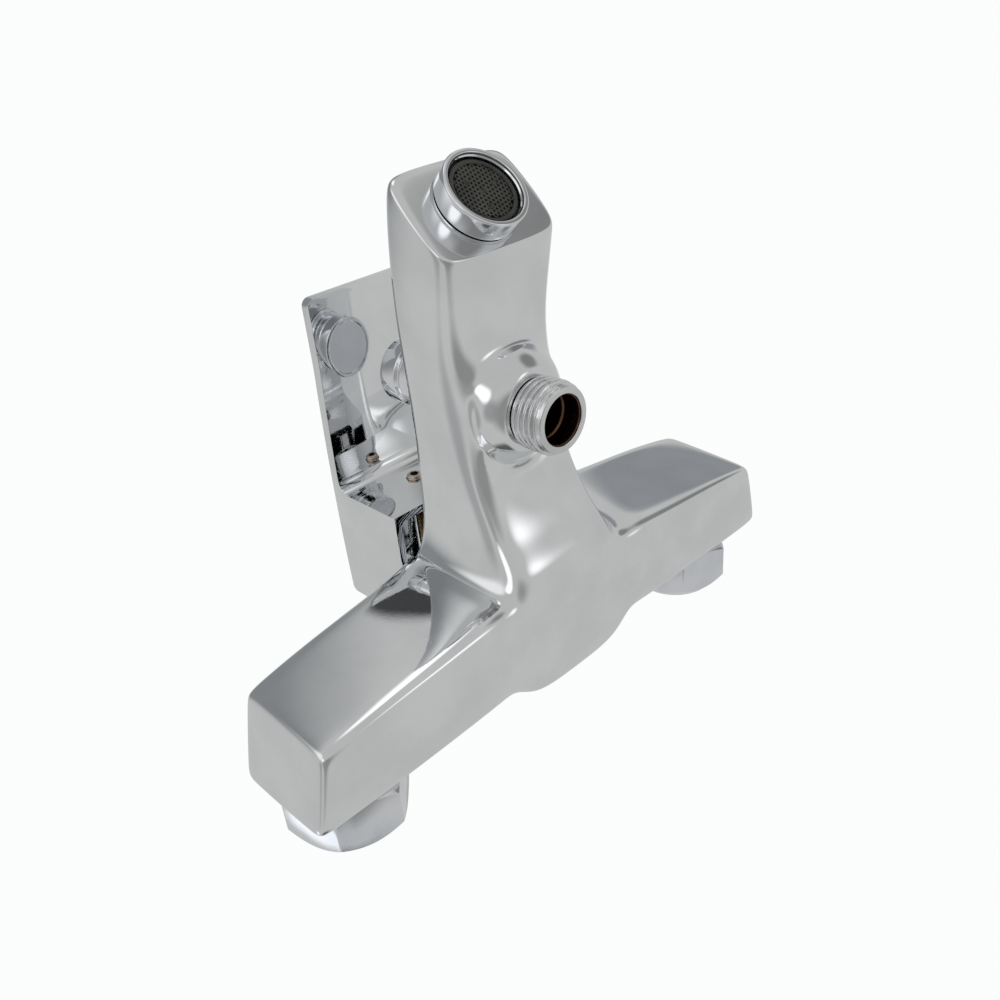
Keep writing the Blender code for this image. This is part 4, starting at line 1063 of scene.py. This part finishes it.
def makeCellTree():
    # Six-sided frames on a close-packed grid inside a circle, with a few solid pillars.
    tree = newTree("cellScreen", [
        ("Radius", "NodeSocketFloat", 0.008), ("Pitch", "NodeSocketFloat", 0.0011),
        ("Wall", "NodeSocketFloat", 0.0004), ("Height", "NodeSocketFloat", 0.001),
        ("Pillar Ring", "NodeSocketFloat", 0.005), ("Pillar Radius", "NodeSocketFloat", 0.001),
        ("Count", "NodeSocketInt", 17), ("Material", "NodeSocketMaterial", None)])
    given = tree.nodes.new("NodeGroupInput").outputs
    span = calc(tree, "MULTIPLY", calc(tree, "SUBTRACT", given["Count"], 1.0), given["Pitch"])
    depth = calc(tree, "MULTIPLY", span, math.sqrt(3.0) / 2.0)
    grid = addNode(tree, "GeometryNodeMeshGrid", {
        "Size X": span, "Size Y": depth, "Vertices X": given["Count"],
        "Vertices Y": given["Count"]})
    index = tree.nodes.new("GeometryNodeInputIndex").outputs[0]
    odd = calc(tree, "MODULO", index, 2.0)
    column = calc(tree, "MODULO", index, given["Count"])
    odd = calc(tree, "MODULO", column, 2.0)
    slide = addNode(tree, "ShaderNodeCombineXYZ", {
        "X": calc(tree, "MULTIPLY", odd, calc(tree, "MULTIPLY", given["Pitch"], 0.5))})
    shifted = addNode(tree, "GeometryNodeSetPosition", {
        "Geometry": grid.outputs["Mesh"], "Offset": slide.outputs[0]})
    points = addNode(tree, "GeometryNodeMeshToPoints", {"Mesh": shifted.outputs[0]})
    spot = tree.nodes.new("GeometryNodeInputPosition").outputs[0]
    pillars = addNode(tree, "GeometryNodeMeshCircle", {
        "Vertices": 3, "Radius": given["Pillar Ring"]})
    middle = addNode(tree, "GeometryNodeMeshLine", {"Count": 1})
    pillarSpots = tree.nodes.new("GeometryNodeJoinGeometry")
    tree.links.new(pillars.outputs["Mesh"], pillarSpots.inputs[0])
    tree.links.new(middle.outputs["Mesh"], pillarSpots.inputs[0])
    near = addNode(tree, "GeometryNodeProximity", {"Geometry": pillarSpots.outputs[0]},
                   target_element="POINTS")
    reach = vecCalc(tree, "LENGTH", spot)
    outside = calc(tree, "GREATER_THAN", reach, given["Radius"])
    onPillar = calc(tree, "LESS_THAN", near.outputs["Distance"],
                    calc(tree, "MULTIPLY", given["Pillar Radius"], 0.62))
    kept = addNode(tree, "GeometryNodeDeleteGeometry", {
        "Geometry": points.outputs[0], "Selection": calc(tree, "MAXIMUM", outside, onPillar)},
        domain="POINT")
    inner = calc(tree, "MULTIPLY_ADD", given["Pitch"], 1.0 / math.sqrt(3.0),
                 calc(tree, "MULTIPLY", given["Wall"], -0.5))
    hexagon = addNode(tree, "GeometryNodeCurvePrimitiveCircle",
                      {"Resolution": 6, "Radius": inner}, mode="RADIUS")
    section = addNode(tree, "GeometryNodeCurvePrimitiveQuadrilateral", {
        "Width": given["Wall"], "Height": given["Height"]}, mode="RECTANGLE")
    cell = addNode(tree, "GeometryNodeCurveToMesh", {
        "Curve": hexagon.outputs["Curve"], "Profile Curve": section.outputs["Curve"]})
    standing = addNode(tree, "GeometryNodeTransform", {
        "Geometry": cell.outputs["Mesh"], "Rotation": (0.0, 0.0, math.radians(30.0))})
    cells = addNode(tree, "GeometryNodeInstanceOnPoints", {
        "Points": kept.outputs[0], "Instance": standing.outputs[0]})
    plug = addNode(tree, "GeometryNodeMeshCylinder", {
        "Vertices": 10, "Radius": given["Pillar Radius"], "Depth": given["Height"]})
    plugs = addNode(tree, "GeometryNodeInstanceOnPoints", {
        "Points": pillarSpots.outputs[0], "Instance": plug.outputs["Mesh"]})
    both = tree.nodes.new("GeometryNodeJoinGeometry")
    tree.links.new(cells.outputs[0], both.inputs[0])
    tree.links.new(plugs.outputs[0], both.inputs[0])
    finishTree(tree, both.outputs[0], given["Material"])
    return tree


def makeAerator():
    given = aeratorSizes
    centre, axis = place["faceCentre"], place["faceAxis"]
    turnedPiece("aeratorHousing", given["housing"], centre, axis, chrome["trim"], "base",
                "aerator_housing", 120)
    # Rim and cells share the dark screen plastic, whose colour holds painted shade.
    turnedPiece("aeratorRim", given["rim"], centre, axis, moulded["screenPlasticWithShade"], "base",
                None)
    # A black disc behind the cells: painted shade, standing in for the shade inside the holes.
    turnedPiece("aeratorShadeDisc", given["back"], centre, axis, moulded["blackRubber"], "base",
                None, 48)
    cells = grow(makeCellTree(), {
        "Radius": given["reach"] * mm, "Pitch": given["cellPitch"] * mm,
        "Wall": given["cellWall"] * mm, "Height": given["cellHeight"] * mm,
        "Pillar Ring": given["pillarRing"] * mm, "Pillar Radius": given["pillarRadius"] * mm,
        "Count": 15, "Material": moulded["screenPlasticWithShade"]}, "aeratorCells")
    middle = given["cellTop"] - given["cellHeight"] / 2.0
    cells.transform(Matrix.Translation((centre + axis * middle) * mm)
                    @ axisTurn(axis).to_4x4() @ Matrix.Rotation(given["turn"], 4, "Z"))
    screen = asPiece("aeratorCells", cells, moulded["screenPlasticWithShade"], 30.0)
    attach(screen, "base")
    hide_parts("aerator_insert")


makeAerator()
print("aerator ready")


# The lever's grub screw and the inlet strainers.

smallSizes = {
    "screw": {"radius": 2.3, "crest": 0.22, "pitch": 0.8, "front": -59.2, "length": 17.0},
    "strainer": {"radius": 10.9, "pitch": 1.5, "wire": 0.5, "count": 15, "y": -8.6},
}


def makeScrew():
    given = smallSizes["screw"]
    centre = Vector((0.0, given["front"], leverSizes["screwZ"]))
    wall = grow(threadTree, {
        "Root Radius": given["radius"] * mm, "Crest Height": given["crest"] * mm,
        "Length": given["length"] * mm, "Pitch": given["pitch"] * mm, "Segments": 36,
        "Rows": 150, "Material": turnedMetal["screwBrass"]}, "screwThread")
    shape = bmesh.new()
    shape.from_mesh(wall)
    bmesh.ops.transform(shape, matrix=Matrix.Scale(1.0 / mm, 4), verts=shape.verts)
    loops = [edge for edge in shape.edges if edge.is_boundary]
    low = [vert for vert in {v for edge in loops for v in edge.verts} if vert.co.z < 1.0]
    high = [vert for vert in {v for edge in loops for v in edge.verts} if vert.co.z > 1.0]
    turnOf = lambda vert: math.atan2(vert.co.y, vert.co.x) % (2.0 * math.pi)
    low.sort(key=turnOf)
    high.sort(key=turnOf)
    shape.faces.new(high)
    rim = [shape.verts.new((v.co.x * 0.86, v.co.y * 0.86, -0.25)) for v in low]
    joinRings(shape, low, rim)
    lip = []
    for index, vert in enumerate(rim):
        angle = turnOf(vert)
        facet = 1.3 / math.cos((angle + math.pi / 6.0) % (math.pi / 3.0) - math.pi / 6.0)
        lip.append(shape.verts.new((facet * math.cos(angle), facet * math.sin(angle), -0.25)))
    joinRings(shape, rim, lip)
    floor = [shape.verts.new((v.co.x, v.co.y, 2.2)) for v in lip]
    joinRings(shape, lip, floor)
    shape.faces.new(floor)
    bmesh.ops.transform(shape, matrix=Matrix.Translation(centre) @ axisTurn(toWall).to_4x4(),
                        verts=shape.verts)
    screw = asPiece("grubScrew", plainMesh(shape, "grubScrew"), turnedMetal["screwBrass"])
    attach(screw, "lever")
    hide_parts("handle_set_screw")


def makeStrainer(sideName, side):
    given = smallSizes["strainer"]
    centre = Vector((side * place["inletX"], given["y"], 0.0))
    wires = grow(screenTree, {
        "Radius": given["radius"] * mm, "Pitch": given["pitch"] * mm,
        "Wire Width": given["wire"] * mm, "Wire Height": given["wire"] * mm,
        "Count": given["count"], "Turn": math.radians(20.0),
        "Material": turnedMetal["meshSteel"]}, "strainerWires")
    wires.transform(Matrix.Translation(centre * mm) @ axisTurn(toWall).to_4x4())
    shape = bmesh.new()
    shape.from_mesh(wires)
    bmesh.ops.transform(shape, matrix=Matrix.Scale(1.0 / mm, 4), verts=shape.verts)
    title = sideName.capitalize()
    mesh = plainMesh(shape, "strainer" + title)
    screen = asPiece("strainerScreen" + title, mesh, turnedMetal["meshSteel"], 30.0)
    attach(screen, "base")
    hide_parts("inlet_strainer_" + sideName)
    hoop = [(10.6, -9.5, 0.2), (11.6, -9.5, 0.3), (11.6, -7.3, 0.4), (10.6, -7.3, 0.4)]
    turnedPiece("strainerHoop" + title, hoop, centre - toWall * given["y"], toWall,
                moulded["blackRubber"], "base", None, 72)


makeScrew()
for sideName, side in sides:
    makeStrainer(sideName, side)
print("small pieces ready")


# The inner parts keep their solids and get their own finishes.

innerFinish = {
    "inlet_tail_left": turnedMetal["leftBrass"], "inlet_tail_right": turnedMetal["rightBrass"],
    "tail_seal_left": moulded["blackRubber"], "tail_seal_right": moulded["blackRubber"],
    "base_seal": moulded["blackRubber"], "cartridge_base": moulded["whitePlastic"],
    "fixed_disc": moulded["whiteCeramic"], "moving_disc": moulded["whiteCeramic"],
    "disc_carrier": moulded["greyPlastic"], "cartridge_housing": moulded["whitePlastic"],
    "turn_guide": moulded["greyPlastic"], "stem_pin": turnedMetal["pinSteel"],
    "lever_stem": turnedMetal["stemBrass"], "bonnet_seal": moulded["blackRubber"],
    "diverter_rod": turnedMetal["rodSteel"], "diverter_valve": turnedMetal["stemBrass"],
    "diverter_seal": moulded["blackRubber"], "diverter_spring": turnedMetal["rodSteel"],
    "nipple_seal": moulded["blackRubber"], "aerator_gasket": moulded["blackRubber"],
}
for nodeName, finish in innerFinish.items():
    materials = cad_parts[nodeName].data.materials
    materials.clear()
    materials.append(finish)
print("inner parts finished")


# Camera, floor and light.

studio = {
    "cameraAt": (-0.1751, -0.2126, -0.1845), "lens": 36.13,
    "cameraTurn": ((0.7047, 0.4042, -0.5831), (0.0844, -0.8638, -0.4968),
                   (-0.7044, 0.3009, -0.6428)),
    "floorZ": -0.45,
}


def makeCamera():
    lensData = bpy.data.cameras.new("camera")
    lensData.lens = studio["lens"]
    lensData.sensor_width = 36.0
    lensData.clip_start = 0.005
    camera = bpy.data.objects.new("camera", lensData)
    bpy.context.scene.collection.objects.link(camera)
    camera.matrix_world = (Matrix.Translation(studio["cameraAt"])
                           @ Matrix(studio["cameraTurn"]).to_4x4())
    bpy.context.scene.camera = camera


# Soft boxes and dark screens around the object, as directions: azimuth, elevation, half
# width, softness (degrees) and brightness.
surround = {
    "base": (0.575, 0.58, 0.575),
    "screens": (
        ("ceiling", -115.0, 62.0, 38.0, 26.0, 0.27, (0.96, 1.0, 1.03)),
        ("darkWall", 95.0, -14.0, 16.0, 12.0, 0.12, (1.0, 1.0, 1.0)),
        ("rightGloom", 168.0, 2.0, 16.0, 16.0, 0.40, (1.0, 1.0, 1.0)),
        ("lowGloom", 180.0, -42.0, 16.0, 16.0, 0.36, (1.0, 1.0, 1.0)),
        ("under", 150.0, -72.0, 26.0, 20.0, 0.30, (1.0, 1.0, 0.98)),
        ("sideGlow", -140.0, 10.0, 22.0, 20.0, 1.00, (1.0, 1.0, 1.0)),
        ("lowGlow", -150.0, -25.0, 12.0, 10.0, 1.35, (1.0, 1.0, 1.0)),
        ("frontStrip", -74.0, 6.0, 8.0, 7.0, 1.30, (1.0, 1.0, 1.0)),
        ("wallStrip", 30.0, 22.0, 9.0, 9.0, 1.10, (0.98, 1.0, 1.02)),
        ("nutGlow", 130.0, 20.0, 9.0, 8.0, 1.20, (0.98, 1.0, 1.03)),
        ("faceGloom", -38.0, -20.0, 14.0, 12.0, 0.25, (1.0, 1.0, 1.0)),
        ("rightSky", -26.0, 21.0, 14.0, 8.0, 0.31, (0.95, 1.0, 1.06)),
        ("floorGlow", -34.0, -57.0, 7.0, 12.0, 1.25, (1.0, 1.0, 1.0)),
        ("operator", -60.0, 31.0, 7.0, 3.0, 0.06, (1.0, 1.0, 1.05))),
    "seen": (0.965, 0.985, 0.975),
}


def makeWorld():
    world = bpy.data.worlds.new("studio")
    bpy.context.scene.world = world
    world.use_nodes = True
    tree = world.node_tree
    back = tree.nodes["Background"]
    towards = tree.nodes.new("ShaderNodeTexCoord").outputs["Generated"]
    colour = addNode(tree, "ShaderNodeRGB").outputs[0]
    colour.default_value = (*surround["base"], 1.0)
    for name, azimuth, elevation, width, soft, bright, hue in surround["screens"]:
        turn, rise = math.radians(azimuth), math.radians(elevation)
        aim = (math.cos(rise) * math.cos(turn), math.cos(rise) * math.sin(turn), math.sin(rise))
        angle = calc(tree, "ARCCOSINE", vecCalc(tree, "DOT_PRODUCT", towards, aim))
        share = spread(tree, angle, math.radians(width + soft / 2.0),
                       math.radians(max(0.0, width - soft / 2.0)))
        blend = addNode(tree, "ShaderNodeMix", {
            0: share, 6: colour, 7: tuple(bright * part for part in hue) + (1.0,)},
            data_type="RGBA")
        blend.label = name
        colour = blend.outputs[2]
    path = tree.nodes.new("ShaderNodeLightPath")
    shown = addNode(tree, "ShaderNodeMix", {
        0: path.outputs["Is Glossy Ray"], 6: (*surround["seen"], 1.0), 7: colour},
        data_type="RGBA")
    tree.links.new(shown.outputs[2], back.inputs["Color"])


def makeFloor():
    shape = bmesh.new()
    bmesh.ops.create_grid(shape, x_segments=1, y_segments=1, size=4.0)
    mesh = bpy.data.meshes.new("floor")
    shape.to_mesh(mesh)
    shape.free()
    mesh.transform(Matrix.Translation((0.0, 0.0, studio["floorZ"])))
    floor = bpy.data.objects.new("floor", mesh)
    bpy.context.scene.collection.objects.link(floor)
    material, tree, shader, coords = startMaterial("paleFloor")
    shader.inputs["Base Color"].default_value = (0.86, 0.865, 0.86, 1.0)
    shader.inputs["Roughness"].default_value = 0.7
    mesh.materials.append(material)
    floor.visible_glossy = False


makeCamera()
makeWorld()
makeFloor()
bpy.context.scene.view_settings.view_transform = "Standard"
